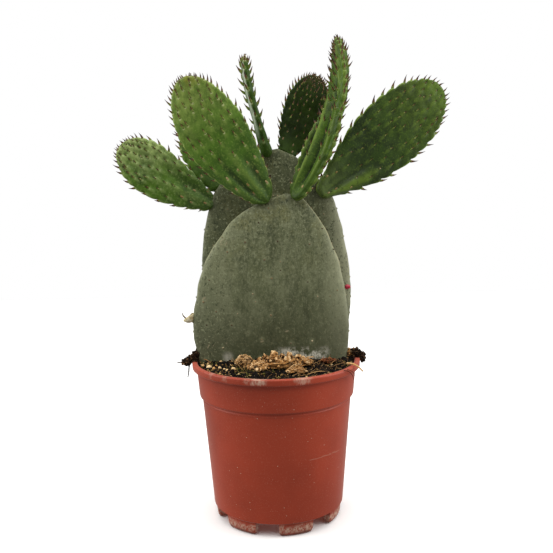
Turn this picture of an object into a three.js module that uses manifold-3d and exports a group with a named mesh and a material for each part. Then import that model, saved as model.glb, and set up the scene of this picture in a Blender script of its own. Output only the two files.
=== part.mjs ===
// Potted paddle cactus. Two old grey-green pads stand one behind the other in a moulded nursery
// pot of peat, and carry seven young green pads with small fleshy leaves.
// Millimetres, +Z up, front towards -Y, origin on the ground under the middle of the plant.

import * as THREE from 'three';
import { mergeVertices } from 'three/addons/utils/BufferGeometryUtils.js';
import Module from 'manifold-3d';

const wasm = await Module();
wasm.setup();

// ---------------------------------------------------------------- driving dimensions

const GAP = 0.3; // clearance between pieces that touch

const POT = {
  rimRadius: 75,
  height: 141.5,
  lipHeight: 5.7,
  lipInnerRadius: 70.6,
  collarTopRadius: 71,
  collarFootRadius: 69,
  collarFoot: 111.9,
  bodyTopRadius: 66.4,
  bodyFootRadius: 58.8,
  footHeight: 11.8,
  footOuterRadius: 57.2,
  footInnerRadius: 50,
  wall: 1.9,
  floor: 2.4,
  segments: 56,
};

const FEET = { count: 7, width: 31, first: 15.5, corner: 3.2 }; // width and first in degrees
const DRAINS = { count: 7, radius: 4.5, ring: 38, sides: 8 };

const SOIL = {
  edge: 139, mound: 3.6, crumbs: 90, crumbHeight: 1.9, crumbRadius: 4.6, around: 42, across: 10,
};

const OLD_PAD_HALF_THICKNESS = { foot: 10, crown: 7.8 };
const OLD_PAD_SQUARENESS = 2.5; // exponent of the section's superellipse
const OLD_PAD_RINGS = 18;
const OLD_PAD_SIDES = 20;

// Outlines as left and right edges, [x, z] from the buried end to the crown. The pad stands in
// a plane of constant y, and bows out of it by bow at mid-height.
const FRONT_PAD = {
  plane: 2,
  bow: -4,
  foot: [-4, 72],
  left: [
    [-50, 89], [-64.2, 112], [-68.6, 141], [-73.2, 170], [-69.6, 195], [-63.4, 221], [-50.2, 247],
    [-31.1, 269.6], [-10.6, 281.6],
  ],
  right: [
    [41, 87], [57.5, 112], [63.3, 141], [64.7, 168], [63.5, 195], [59.2, 219], [49.9, 248],
    [39.2, 268.6], [26.6, 283],
  ],
  crown: [11.5, 288.5],
};
const BACK_PAD = {
  plane: 28,
  bow: 3,
  foot: [0.7, 77],
  left: [
    [-42, 92], [-54, 112], [-61, 141], [-68, 182], [-67, 219], [-64.2, 250], [-58.8, 274],
    [-49.8, 295], [-31.3, 314], [-11.4, 324.6],
  ],
  right: [
    [44, 92], [54, 112], [61, 141], [69, 176], [69.3, 206], [65.6, 240], [59.9, 271],
    [50.8, 290], [34.5, 308], [21.6, 321],
  ],
  crown: [4.4, 328.2],
};

const LEAF = { length: 6.2, radius: 1.35, sunk: 1.2, sides: 3, lean: 52, spacing: 19 };

// Young pads. base, bend and tip are the control points of the midline, and faces is the way
// the broad face looks. neck is the width at the foot as a share of the full width, peak is where
// the pad is widest as a share of its length, flare shapes its sides below that and blunt its
// end above. twist is in degrees from foot to tip, and cup bends the edges towards the face.
const YOUNG_PADS = {
  young_pad_left: {
    base: [-53.5, 30, 278.9], bend: [-104, 20, 303.6], tip: [-132.5, 8, 334],
    faces: [-0.15, -0.87, 0.42], halfWidth: 22.6, halfThickness: 4.6, neck: 0.25, peak: 0.61,
    blunt: 2.04, flare: 0.95, twist: 0, cup: 0.06, seed: 11,
  },
  young_pad_big_left: {
    base: [-3.9, -3.4, 281.4], bend: [-61.5, -10, 348.5], tip: [-70.6, -20, 387],
    faces: [-0.12, -1, 0.06], halfWidth: 28.2, halfThickness: 4.8, neck: 0.23, peak: 0.52,
    blunt: 1.46, flare: 0.76, twist: 0, cup: -0.05, seed: 12,
  },
  young_pad_hidden: {
    base: [-48.4, 30.5, 291.6], bend: [-62.2, 49, 321.5], tip: [-81, 63, 361],
    faces: [0.15, -0.97, 0.25], halfWidth: 18.6, halfThickness: 4.4, neck: 0.22, peak: 0.57,
    blunt: 1.6, flare: 0.81, twist: 0, cup: 0.05, seed: 13,
  },
  young_pad_thin: {
    base: [-3.6, 21.5, 320.9], bend: [-25.4, 18, 389], tip: [-22.3, 12, 408],
    faces: [-1, -0.06, 0], halfWidth: 15, halfThickness: 4.1, neck: 0.42, peak: 0.6,
    blunt: 1.9, flare: 0.9, twist: 0, cup: 0, seed: 14,
  },
  young_pad_back: {
    base: [11.5, 30.8, 322.7], bend: [21.9, 40, 340.6], tip: [43.2, 52, 395.7],
    faces: [0.12, -0.98, 0.1], halfWidth: 18.6, halfThickness: 4.5, neck: 0.34, peak: 0.74,
    blunt: 1.66, flare: 1.2, twist: 0, cup: 0.05, seed: 15,
  },
  young_pad_tall: {
    base: [18.3, -5, 283], bend: [70, -6, 363], tip: [56.8, 4, 419.4],
    faces: [-0.72, -0.69, 0.1], halfWidth: 18.5, halfThickness: 4.9, neck: 0.34, peak: 0.4,
    blunt: 3.4, flare: 0.8, twist: -42, cup: 0.08, seed: 16,
  },
  young_pad_right: {
    base: [41, 23.5, 287], bend: [78.2, 32, 314.2], tip: [155.7, 40, 382.1],
    faces: [0.1, -0.97, -0.18], halfWidth: 31.6, halfThickness: 4.9, neck: 0.22, peak: 0.69,
    blunt: 2.16, flare: 1.4, twist: 0, cup: 0.05, seed: 17,
  },
};
const YOUNG = { rings: 11, sides: 14, squareness: 2.3, roundEnd: 0.05, thinning: 0.3 };

// Loose pieces on the soil: middle and half sizes, and how rough they are.
const BARK = {
  bark_lump_main: { at: [7, -30, 144.5], half: [25, 12, 4.6], rough: 0.3, seed: 21 },
  bark_lump_left: { at: [-27, -25, 144], half: [8.5, 8, 5.4], rough: 0.22, seed: 22 },
  bark_chip: { at: [45, -21, 143.4], half: [7.5, 4.5, 2.2], rough: 0.2, seed: 23 },
};
const CLODS = {
  peat_clod_left: { at: [-74.5, -3, 144.4], half: [7.6, 6, 4.2], rough: 0.28, seed: 31 },
  peat_clod_right: { at: [72.5, 2, 144.2], half: [7.4, 6.5, 3.8], rough: 0.28, seed: 32 },
};
const STRAW = {
  radius: 0.7,
  path: [[60.8, -29.5, 142.8], [65.4, -33.2, 143.2], [69.6, -36.6, 141.6], [73.4, -39.5, 138.2]],
};
const WITHERED_BUD = { at: [-77, -1.8, 180], half: [5.2, 3.8, 4.6], rough: 0.25, seed: 41 };
const RED_BUD = { at: [64.2, -1.6, 205.4], half: [2.4, 1.9, 2.2], rough: 0.05, seed: 42 };

const COLOURS = {
  pot: 0xa8492c, soil: 0x2a2019, bark: 0xb08a55, straw: 0xc9a468, oldPad: 0x6f7f66, youngPad: 0x4f8a2f,
  bud: 0xb39a5e, redBud: 0xa8322c,
};

// ---------------------------------------------------------------- helpers

/** Repeatable random numbers from 0 to 1. */
function seededRandom(seed) {
  let state = seed * 2654435761;
  return () => {
    state = (state + 0x6d2b79f5) | 0;
    let mixed = Math.imul(state ^ (state >>> 15), 1 | state);
    mixed = (mixed + Math.imul(mixed ^ (mixed >>> 7), 61 | mixed)) ^ mixed;
    return ((mixed ^ (mixed >>> 14)) >>> 0) / 4294967296;
  };
}

/** Cosine or sine drawn out to the corners of a superellipse. */
const squared = (value, exponent) => Math.sign(value) * Math.abs(value) ** (2 / exponent);

/** The solid that a closed geometry bounds. */
function solidOf(geometry) {
  const plain = geometry.clone();
  plain.deleteAttribute('normal');
  plain.deleteAttribute('uv');
  const merged = mergeVertices(plain, 1e-4);
  return new wasm.Manifold(new wasm.Mesh({
    numProp: 3,
    vertProperties: new Float32Array(merged.attributes.position.array),
    triVerts: new Uint32Array(merged.index.array),
  }));
}

/** The geometry of a solid, largest body only, so that no loose scrap stays. */
function geometryOf(solid) {
  const bodies = solid.decompose().sort((a, b) => b.volume() - a.volume());
  const mesh = bodies[0].getMesh();
  const geometry = new THREE.BufferGeometry();
  geometry.setAttribute('position', new THREE.BufferAttribute(mesh.vertProperties, 3));
  geometry.setIndex(new THREE.BufferAttribute(mesh.triVerts, 1));
  return geometry;
}

/** The middle of a ring of points. */
function middleOf(ring) {
  return ring.reduce((sum, point) => sum.add(point), new THREE.Vector3()).divideScalar(ring.length);
}

/** A closed geometry through rings of points, from a first point to a last one. */
function loft(rings, first = middleOf(rings[0]), last = middleOf(rings[rings.length - 1])) {
  const count = rings[0].length;
  const points = [first, ...rings.flat(), last];
  const faces = [];
  const at = (ring, i) => 1 + ring * count + (i % count);
  for (let i = 0; i < count; i += 1) {
    faces.push(0, at(0, i + 1), at(0, i));
    for (let r = 0; r < rings.length - 1; r += 1) {
      faces.push(at(r, i), at(r, i + 1), at(r + 1, i + 1));
      faces.push(at(r, i), at(r + 1, i + 1), at(r + 1, i));
    }
    faces.push(points.length - 1, at(rings.length - 1, i), at(rings.length - 1, i + 1));
  }
  const geometry = new THREE.BufferGeometry().setFromPoints(points);
  geometry.setIndex(faces);
  return geometry;
}

/** A named mesh in a plain finish. */
function piece(name, geometry, color, roughness = 0.8) {
  const flat = geometry.index ? geometry.toNonIndexed() : geometry;
  flat.computeVertexNormals();
  const mesh = new THREE.Mesh(flat, new THREE.MeshStandardMaterial({ color, roughness, metalness: 0 }));
  mesh.name = name;
  return mesh;
}

/** Point at a radius, an angle from the front (-Y) towards +X, and a height. */
function polar(radius, angle, z) {
  return new THREE.Vector3(radius * Math.sin(angle), -radius * Math.cos(angle), z);
}

// ---------------------------------------------------------------- pot

/** Radius of the pot's inner wall at a height. */
function innerRadius(z) {
  const body = [POT.bodyFootRadius, POT.footHeight, POT.bodyTopRadius, POT.collarFoot - 2.4];
  const collar = [POT.collarFootRadius, POT.collarFoot, POT.collarTopRadius, POT.height - POT.lipHeight];
  const [r0, z0, r1, z1] = z < POT.collarFoot ? body : collar;
  return THREE.MathUtils.mapLinear(z, z0, z1, r0, r1) - POT.wall;
}

/** Wall section, up the outside with its step, bead, collar and lip, and down the inside. */
function potProfile() {
  const lipUnder = POT.height - POT.lipHeight;
  const bead = POT.collarFoot - 4.7;
  const floorTop = POT.footHeight + POT.floor;
  return [
    [0, POT.footHeight],
    [POT.footOuterRadius, POT.footHeight],
    [POT.bodyFootRadius, POT.footHeight + 0.9],
    [POT.bodyTopRadius, bead],
    [POT.bodyTopRadius + 0.8, bead + 1.2],
    [POT.bodyTopRadius, bead + 2.4],
    [POT.bodyTopRadius, POT.collarFoot - 0.8],
    [POT.collarFootRadius - 0.7, POT.collarFoot - 0.8],
    [POT.collarFootRadius, POT.collarFoot + 0.3],
    [POT.collarTopRadius, lipUnder],
    [POT.rimRadius - 1.8, lipUnder],
    [POT.rimRadius, lipUnder + 1.4],
    [POT.rimRadius, POT.height - 1.2],
    [POT.rimRadius - 1.2, POT.height],
    [POT.lipInnerRadius, POT.height],
    [innerRadius(lipUnder), lipUnder - 1],
    [innerRadius(POT.collarFoot), POT.collarFoot],
    [innerRadius(POT.collarFoot - 2.4), POT.collarFoot - 2.4],
    [innerRadius(floorTop), floorTop],
    [0, floorTop],
  ].map(([r, z]) => new THREE.Vector2(r, z));
}

/** One foot: a block of the ring under the wall, drawn in and rounded towards the ground. */
function potFoot(middle) {
  const half = THREE.MathUtils.degToRad(FEET.width / 2);
  const steps = 4;
  const section = (z, outer, inner, spread) => {
    const ring = [];
    for (let i = 0; i <= steps; i += 1) ring.push(polar(outer, middle + spread * (2 * i / steps - 1), z));
    for (let i = steps; i >= 0; i -= 1) ring.push(polar(inner, middle + spread * (2 * i / steps - 1), z));
    return ring;
  };
  const { footOuterRadius: outer, footInnerRadius: inner } = POT;
  return loft([
    section(0, outer - 2.6, inner + 1, half * 0.8),
    section(FEET.corner, outer - 0.9, inner, half * 0.97),
    section(POT.footHeight + POT.floor / 2, outer - 0.1, inner, half),
  ]);
}

/** The moulded pot with its feet and drain holes. */
function potSolid() {
  let solid = solidOf(new THREE.LatheGeometry(potProfile(), POT.segments).rotateX(Math.PI / 2));
  for (let i = 0; i < FEET.count; i += 1) {
    const angle = THREE.MathUtils.degToRad(FEET.first) + i * 2 * Math.PI / FEET.count;
    solid = solid.add(solidOf(potFoot(angle)));
  }
  for (let i = 0; i < DRAINS.count; i += 1) {
    const angle = THREE.MathUtils.degToRad(FEET.first) + (i + 0.5) * 2 * Math.PI / DRAINS.count;
    const hole = new THREE.CylinderGeometry(DRAINS.radius, DRAINS.radius, 3 * POT.floor, DRAINS.sides);
    hole.rotateX(Math.PI / 2);
    const middle = polar(DRAINS.ring, angle, POT.footHeight + POT.floor / 2);
    hole.translate(middle.x, middle.y, middle.z);
    solid = solid.subtract(solidOf(hole));
  }
  return solid;
}

/** The space of the pot's lip and wall, grown by the clearance, for pieces that lie on it. */
function lipClearance() {
  const inner = POT.lipInnerRadius - GAP;
  const outer = POT.rimRadius + GAP;
  const [foot, top] = [120, POT.height + GAP];
  const corners = [[inner, foot], [outer, foot], [outer, top], [inner, top], [inner, foot]];
  const points = corners.map(([r, z]) => new THREE.Vector2(r, z));
  return solidOf(new THREE.LatheGeometry(points, POT.segments).rotateX(Math.PI / 2));
}

// ---------------------------------------------------------------- old pads

/** Old pad: sections between its left and right edges, rounded over to both ends. */
function oldPad(shape, grow = 0) {
  const side = (points) => new THREE.SplineCurve(
    [shape.foot, ...points, shape.crown].map(([x, z]) => new THREE.Vector2(x, z)),
  );
  const left = side(shape.left);
  const right = side(shape.right);
  const middle = (shape.foot[1] + shape.crown[1]) / 2;
  const halfHeight = (shape.crown[1] - shape.foot[1]) / 2 + grow;
  const rings = [];
  for (let i = 1; i < OLD_PAD_RINGS; i += 1) {
    const s = (1 - Math.cos(Math.PI * i / OLD_PAD_RINGS)) / 2;
    const [a, b] = [left.getPoint(s), right.getPoint(s)];
    const centre = a.clone().add(b).multiplyScalar(0.5);
    const half = b.clone().sub(a).multiplyScalar(0.5);
    half.setLength(half.length() + grow);
    centre.y = middle + (centre.y - middle) * (1 + grow / halfHeight);
    const rise = THREE.MathUtils.clamp((centre.y - middle) / halfHeight, -1, 1);
    const { foot, crown } = OLD_PAD_HALF_THICKNESS;
    const full = THREE.MathUtils.lerp(foot, crown, (rise + 1) / 2);
    const thickness = (full + grow) * (1 - Math.abs(rise) ** 3) ** (1 / 2.2);
    const depth = shape.plane + shape.bow * Math.cos(Math.PI / 2 * rise);
    const ring = [];
    for (let j = 0; j < OLD_PAD_SIDES; j += 1) {
      const angle = 2 * Math.PI * j / OLD_PAD_SIDES;
      const across = squared(Math.cos(angle), OLD_PAD_SQUARENESS);
      const out = squared(Math.sin(angle), OLD_PAD_SQUARENESS);
      ring.push(new THREE.Vector3(
        centre.x + half.x * across,
        depth + thickness * out,
        centre.y + half.y * across,
      ));
    }
    rings.push(ring);
  }
  const end = ([x, z], way) => new THREE.Vector3(x, shape.plane, z + way * grow);
  return loft(rings, end(shape.foot, -1), end(shape.crown, 1));
}

// ---------------------------------------------------------------- young pads

/** The surface of a young pad, as a function of the way along it and the angle round it. */
function padSurface(pad) {
  const [base, bend, tip] = [pad.base, pad.bend, pad.tip].map((p) => new THREE.Vector3(...p));
  const midline = new THREE.QuadraticBezierCurve3(base, bend, tip);
  const faces = new THREE.Vector3(...pad.faces);
  const widthAt = (u) => {
    const swell = pad.neck + (1 - pad.neck) * Math.sin(Math.PI / 2 * Math.min(u / pad.peak, 1)) ** pad.flare;
    const close = Math.sqrt(1 - Math.max(0, (u - pad.peak) / (1 - pad.peak)) ** pad.blunt);
    return swell * close;
  };
  const endAt = (u) => Math.sqrt(1 - Math.max(0, 1 - u / YOUNG.roundEnd) ** 2);
  const frameAt = (u) => {
    const along = midline.getTangent(u);
    const across = new THREE.Vector3().crossVectors(faces, along).normalize();
    const out = new THREE.Vector3().crossVectors(along, across).normalize();
    const turn = THREE.MathUtils.degToRad(pad.twist * u);
    across.applyAxisAngle(along, turn);
    out.applyAxisAngle(along, turn);
    return { along, across, out };
  };
  const pointAt = (u, angle) => {
    const { across, out } = frameAt(u);
    const width = pad.halfWidth * widthAt(u) * endAt(u);
    const close = Math.sqrt(1 - Math.max(0, (u - pad.peak) / (1 - pad.peak)) ** pad.blunt);
    const thickness = pad.halfThickness * (1 - YOUNG.thinning * u) * close * endAt(u);
    const sideways = squared(Math.cos(angle), YOUNG.squareness);
    const outwards = thickness * squared(Math.sin(angle), YOUNG.squareness) + pad.cup * width * sideways ** 2;
    return midline.getPoint(u).addScaledVector(across, width * sideways).addScaledVector(out, outwards);
  };
  const normalAt = (u, angle) => {
    const step = 0.01;
    const du = pointAt(u + step, angle).sub(pointAt(u - step, angle));
    const da = pointAt(u, angle + step).sub(pointAt(u, angle - step));
    return new THREE.Vector3().crossVectors(da, du).normalize();
  };
  return { midline, widthAt, pointAt, normalAt, length: midline.getLength() };
}

/** Places of the leaves: staggered rows over both faces and along both edges to the tip. */
function leafSites(pad, surface) {
  const random = seededRandom(pad.seed);
  const sites = [];
  let row = 0;
  for (let along = 0.7 * LEAF.spacing; along < surface.length - 2; row += 1) {
    const u = along / surface.length;
    const width = pad.halfWidth * surface.widthAt(u);
    const columns = Math.max(1, Math.round(2 * width / LEAF.spacing));
    sites.push([u, 0.001], [u, Math.PI]);
    for (const face of [1, -1]) {
      for (let i = 0; i < columns; i += 1) {
        const q = ((i + 0.5 + 0.25 * (row % 2 ? 1 : -1)) / columns) * 2 - 1 + 0.12 * (random() - 0.5);
        const spread = THREE.MathUtils.clamp(q, -0.82, 0.82);
        const angle = Math.acos(Math.sign(spread) * Math.abs(spread) ** (YOUNG.squareness / 2));
        sites.push([u + 0.03 * (random() - 0.5), face * angle]);
      }
    }
    along += LEAF.spacing * (1 - 0.35 * u);
  }
  sites.push([0.985, Math.PI / 2]);
  return sites.filter(([u]) => u > 0.06 && u < 0.99);
}

/** One leaf: a slim cone, its root in the pad, leaning towards the pad's tip. */
function leaf(surface, [u, angle]) {
  const point = surface.pointAt(u, angle);
  const normal = surface.normalAt(u, angle);
  const along = surface.midline.getTangent(u);
  const lean = THREE.MathUtils.degToRad(LEAF.lean);
  const way = normal.clone().multiplyScalar(Math.cos(lean)).addScaledVector(along, Math.sin(lean));
  way.normalize();
  const height = LEAF.length + LEAF.sunk;
  const cone = new THREE.ConeGeometry(LEAF.radius, height, LEAF.sides);
  cone.translate(0, height / 2, 0);
  cone.applyQuaternion(new THREE.Quaternion().setFromUnitVectors(new THREE.Vector3(0, 1, 0), way));
  const root = point.addScaledVector(way, -LEAF.sunk);
  return cone.translate(root.x, root.y, root.z);
}

/** A young pad with its leaves, its foot shaped to the old pad that bears it. */
function youngPadSolid(pad, mothers) {
  const surface = padSurface(pad);
  const rings = [];
  for (let i = 1; i < YOUNG.rings; i += 1) {
    const u = (1 - Math.cos(Math.PI * i / YOUNG.rings)) / 2;
    const ring = [];
    for (let j = 0; j < YOUNG.sides; j += 1) ring.push(surface.pointAt(u, 2 * Math.PI * j / YOUNG.sides));
    rings.push(ring);
  }
  let solid = solidOf(loft(rings, surface.pointAt(0, 0), surface.pointAt(1, 0)));
  for (const site of leafSites(pad, surface)) solid = solid.add(solidOf(leaf(surface, site)));
  for (const mother of mothers) solid = solid.subtract(mother);
  return solid;
}

// ---------------------------------------------------------------- soil and loose pieces

/** Height of the soil: a low mound with crumbs. */
function soilHeight(x, y, crumbs) {
  const radius = Math.hypot(x, y);
  let z = SOIL.edge + SOIL.mound * (1 - (radius / POT.lipInnerRadius) ** 2);
  for (const crumb of crumbs) {
    const distance = Math.hypot(x - crumb.x, y - crumb.y) / crumb.radius;
    z += crumb.height * Math.exp(-distance * distance);
  }
  return z;
}

/** The peat: it fills the pot to just under the lip. */
function soilSolid() {
  const random = seededRandom(51);
  const crumbs = Array.from({ length: SOIL.crumbs }, () => {
    const at = polar(66 * Math.sqrt(random()), 2 * Math.PI * random(), 0);
    const size = 0.5 + random();
    return { x: at.x, y: at.y, radius: SOIL.crumbRadius * size, height: SOIL.crumbHeight * (random() - 0.3) };
  });
  const ring = (radius, height) => Array.from({ length: SOIL.around }, (_, i) => {
    const point = polar(radius, 2 * Math.PI * i / SOIL.around, 0);
    point.z = height ?? soilHeight(point.x, point.y, crumbs);
    return point;
  });
  const floor = POT.footHeight + POT.floor + GAP;
  const step = POT.collarFoot;
  const wall = 0.5 + GAP; // clear of the flats of the pot's wall
  const top = innerRadius(POT.height - POT.lipHeight) - wall;
  const rings = [
    ring(innerRadius(floor) - wall, floor),
    ring(innerRadius(step - 2.5) - wall, step - 2.5),
    ring(innerRadius(step) - wall, step + 0.6),
    ring(top, POT.height - POT.lipHeight - 1.2),
  ];
  for (let i = 0; i < SOIL.across; i += 1) rings.push(ring((top + 0.1) * (1 - i / SOIL.across)));
  return solidOf(loft(rings));
}

/** A rough lump: a ball drawn out to its half sizes, with bumps from a sum of waves. */
function lump({ at, half, rough, seed }, detail = 2) {
  const random = seededRandom(seed);
  const waves = Array.from({ length: 7 }, () => ({
    way: new THREE.Vector3(random() - 0.5, random() - 0.5, random() - 0.5).normalize(),
    pitch: 2 + 5 * random(),
    phase: 6.28 * random(),
  }));
  const ball = new THREE.IcosahedronGeometry(1, detail);
  const position = ball.attributes.position;
  const point = new THREE.Vector3();
  for (let i = 0; i < position.count; i += 1) {
    point.fromBufferAttribute(position, i);
    const bump = waves.reduce((sum, w) => sum + Math.sin(w.pitch * point.dot(w.way) * 2 + w.phase), 0);
    point.multiplyScalar(1 + rough * bump / 3);
    position.setXYZ(i, at[0] + half[0] * point.x, at[1] + half[1] * point.y, at[2] + half[2] * point.z);
  }
  return solidOf(ball);
}

/** The straw that lies over the rim. */
function strawGeometry() {
  const path = new THREE.CatmullRomCurve3(STRAW.path.map((p) => new THREE.Vector3(...p)));
  const section = new THREE.Shape().absarc(0, 0, STRAW.radius, 0, 2 * Math.PI);
  return new THREE.ExtrudeGeometry(section, { steps: 10, curveSegments: 6, extrudePath: path });
}

// ---------------------------------------------------------------- the plant

const pot = potSolid();
const frontSpace = solidOf(oldPad(FRONT_PAD, GAP));
const backSpace = solidOf(oldPad(BACK_PAD, GAP));
const soil = soilSolid().subtract(frontSpace).subtract(backSpace);
const soilSpace = soil.translate([0, 0, GAP]).add(soil);
const lip = lipClearance();

const plant = new THREE.Group();
plant.add(piece('pot', geometryOf(pot), COLOURS.pot, 0.45));
plant.add(piece('soil', geometryOf(soil), COLOURS.soil, 0.95));
plant.add(piece('mother_pad_front', oldPad(FRONT_PAD), COLOURS.oldPad, 0.7));
plant.add(piece('mother_pad_back', oldPad(BACK_PAD), COLOURS.oldPad, 0.7));

for (const [name, pad] of Object.entries(YOUNG_PADS)) {
  plant.add(piece(name, geometryOf(youngPadSolid(pad, [frontSpace, backSpace])), COLOURS.youngPad, 0.5));
}

for (const [name, shape] of Object.entries(BARK)) {
  const solid = lump(shape).subtract(soilSpace).subtract(frontSpace);
  plant.add(piece(name, geometryOf(solid), COLOURS.bark, 0.95));
}
for (const [name, shape] of Object.entries(CLODS)) {
  const solid = lump(shape).subtract(lip).subtract(soilSpace).subtract(frontSpace).subtract(backSpace);
  plant.add(piece(name, geometryOf(solid), COLOURS.soil, 0.95));
}
plant.add(piece('straw', strawGeometry(), COLOURS.straw, 0.8));
plant.add(piece('withered_bud', geometryOf(lump(WITHERED_BUD).subtract(frontSpace)), COLOURS.bud, 0.9));
plant.add(piece('red_bud', geometryOf(lump(RED_BUD, 1).subtract(frontSpace)), COLOURS.redBud, 0.6));

// The origin goes to the ground under the middle of the whole plant's box.
const box = new THREE.Box3().setFromObject(plant);
const middle = box.getCenter(new THREE.Vector3());
plant.position.set(-middle.x, -middle.y, -box.min.z);

export default plant;
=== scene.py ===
"""Looks of a potted paddle cactus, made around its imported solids.

Lengths are written in millimetres about the pot's axis, with the ground at 0, +Z up and the
front towards -Y. Bench.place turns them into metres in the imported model's frame, and materials
measure in metres in that frame.
"""

import logging
from collections.abc import Callable
from dataclasses import dataclass, field
from enum import Enum
from itertools import product
from math import cos, pi, radians, sin

import bpy
import numpy as np
from mathutils import Matrix, Vector


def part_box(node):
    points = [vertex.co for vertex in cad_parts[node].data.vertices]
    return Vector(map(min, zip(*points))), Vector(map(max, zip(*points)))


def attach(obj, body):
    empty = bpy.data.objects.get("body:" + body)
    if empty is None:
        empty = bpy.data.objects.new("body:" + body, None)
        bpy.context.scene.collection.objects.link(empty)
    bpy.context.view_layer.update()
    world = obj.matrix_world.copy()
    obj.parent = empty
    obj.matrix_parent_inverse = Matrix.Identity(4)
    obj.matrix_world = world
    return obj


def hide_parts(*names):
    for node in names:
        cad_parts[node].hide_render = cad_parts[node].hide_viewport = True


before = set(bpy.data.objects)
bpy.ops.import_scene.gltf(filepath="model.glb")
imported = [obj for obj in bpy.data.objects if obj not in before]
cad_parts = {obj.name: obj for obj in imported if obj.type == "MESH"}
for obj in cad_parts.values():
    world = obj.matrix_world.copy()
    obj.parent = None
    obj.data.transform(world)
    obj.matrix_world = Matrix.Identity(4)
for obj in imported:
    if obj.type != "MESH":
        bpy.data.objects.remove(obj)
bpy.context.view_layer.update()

LOG = logging.getLogger("paddle_cactus")
MM = 0.001

Array = np.ndarray
Draws = np.random.Generator
Material = bpy.types.Material
Pair = tuple[float, float]
Point = tuple[float, float, float]
Path = tuple[Point, ...]
Colour = str  # a screen colour, as six hex digits
Patch = tuple[float, float, float, int, float]

HASH_OF_AXES = np.array([73856093, 19349663, 83492791])
HASH_OF_SEED, HASH_OF_OCTAVE, HASH_STIR = 2654435761, 40503, 1274126177
HASH_LIMIT = 0x7FFFFFFF
GOLDEN_SHARE = 0.618034
OFF_ALL_THREADS = np.array([0.31, 0.17, 0.93])


class Slot(Enum):
    """The record's material slots."""

    POT = "pot_plastic"
    PEAT = "peat"
    OLD_SKIN = "old_pad_skin"
    YOUNG_SKIN = "young_pad_skin"
    BARK = "bark"
    STRAW = "straw"
    DRY_BUD = "dry_bud"
    RED_BUD = "red_bud"


# ------------ surfaces


@dataclass
class Surface:
    """A mesh in millimetres, with numbers at its vertices that its material reads.

    Args:
        points: vertices, one row each.
        quads: four-sided faces, as rows of vertex numbers.
        triangles: three-sided faces, as rows of vertex numbers.
        values: a number for each vertex, by name.
    """

    points: Array
    quads: Array
    triangles: Array
    values: dict[str, Array] = field(default_factory=dict)


def unit(vectors: Array) -> Array:
    """Vectors along the last axis, each made one long."""
    return vectors / np.maximum(np.linalg.norm(vectors, axis=-1, keepdims=True), 1e-9)


def round_angles(count: int) -> Array:
    """Angles in radians evenly round a circle, from 0."""
    return 2 * np.pi * np.arange(count) / count


def closing_steps(count: int) -> Array:
    """Steps between 0 and 1, closer together towards both ends, which are left out."""
    return (1 - np.cos(np.pi * np.arange(1, count) / count)) / 2


def superellipse(angle: Array, squareness: float) -> tuple[Array, Array]:
    """Places on a superellipse of half size 1: cosine and sine to the power 2 / squareness, signs kept."""
    cosine, sine = (np.sign(w) * np.abs(w) ** (2 / squareness) for w in (np.cos(angle), np.sin(angle)))
    return cosine, sine


def nearest(points: Array, spots: Array) -> Array:
    """Number of the point that is nearest to each spot."""
    return np.array([np.argmin(np.sum((points - spot) ** 2, axis=1)) for spot in spots])


def smooth_step(value: Array | float, low: float, high: float) -> Array:
    """0 below low, 1 above high, and 3t^2 - 2t^3 between them."""
    t = np.clip((np.asarray(value, float) - low) / (high - low), 0.0, 1.0)
    return t * t * (3.0 - 2.0 * t)


def noise(points: Array, scale: float | Point, seed: int, octaves: int = 1) -> Array:
    """Smooth noise: numbers at the corners of a lattice, blended by 3t^2 - 2t^3 in each cell.

    Args:
        points: places in millimetres, one row each.
        scale: size of a lattice cell, or its size along x, y and z.
        seed: chooses the pattern.
        octaves: patterns that are added, each half as large and strong.

    Returns:
        A number for each place, from -1 to 1.
    """
    total = np.zeros(len(points))
    reach = 0.0
    for octave in range(octaves):
        grid = points / (np.asarray(scale, float) * 0.5**octave)
        cell = np.floor(grid).astype(np.int64)
        part = grid - cell
        part = part * part * (3.0 - 2.0 * part)
        for corner in product((0, 1), repeat=3):
            key = (cell + corner) @ HASH_OF_AXES
            key = (key + seed * HASH_OF_SEED + octave * HASH_OF_OCTAVE) & HASH_LIMIT
            key = ((key ^ (key >> 13)) * HASH_STIR) & HASH_LIMIT
            height = ((key ^ (key >> 15)) & 0xFFFF) / 32767.5 - 1.0
            weight = np.prod(np.where(np.array(corner) == 1, part, 1.0 - part), axis=1)
            total += 0.5**octave * weight * height
        reach += 0.5**octave
    return total / reach


def woven(points: Array, first: Array | None = None, last: Array | None = None,
          values: dict[str, Array] | None = None) -> Surface:
    """A surface over a grid of points whose columns go round and close on themselves.

    Args:
        points: grid of rows along the piece and columns round it.
        first: pole that closes the first row, its middle where none is given.
        last: pole that closes the last row, its middle where none is given.
        values: numbers at the grid's points, by name.

    Returns:
        The closed surface; it faces out where rows rise and columns turn anticlockwise.
    """
    rows, columns = points.shape[:2]
    first = points[0].mean(axis=0) if first is None else first
    last = points[-1].mean(axis=0) if last is None else last
    index = np.arange(rows * columns).reshape(rows, columns)
    right = np.roll(index, -1, axis=1)
    quads = np.stack([index[:-1], right[:-1], right[1:], index[1:]], axis=-1).reshape(-1, 4)
    low, high = rows * columns, rows * columns + 1
    below = np.stack([np.full(columns, low), right[0], index[0]], axis=-1)
    above = np.stack([np.full(columns, high), index[-1], right[-1]], axis=-1)
    everything = np.concatenate([points.reshape(-1, 3), [first], [last]])
    kept = {name: with_poles(grid.reshape(rows, columns)) for name, grid in (values or {}).items()}
    return Surface(everything, quads, np.concatenate([below, above]), kept)


def with_poles(grid: Array) -> Array:
    """Numbers on a grid as one list for the vertices that woven makes, poles last."""
    return np.concatenate([grid.ravel(), [grid[0].mean()], [grid[-1].mean()]])


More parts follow.
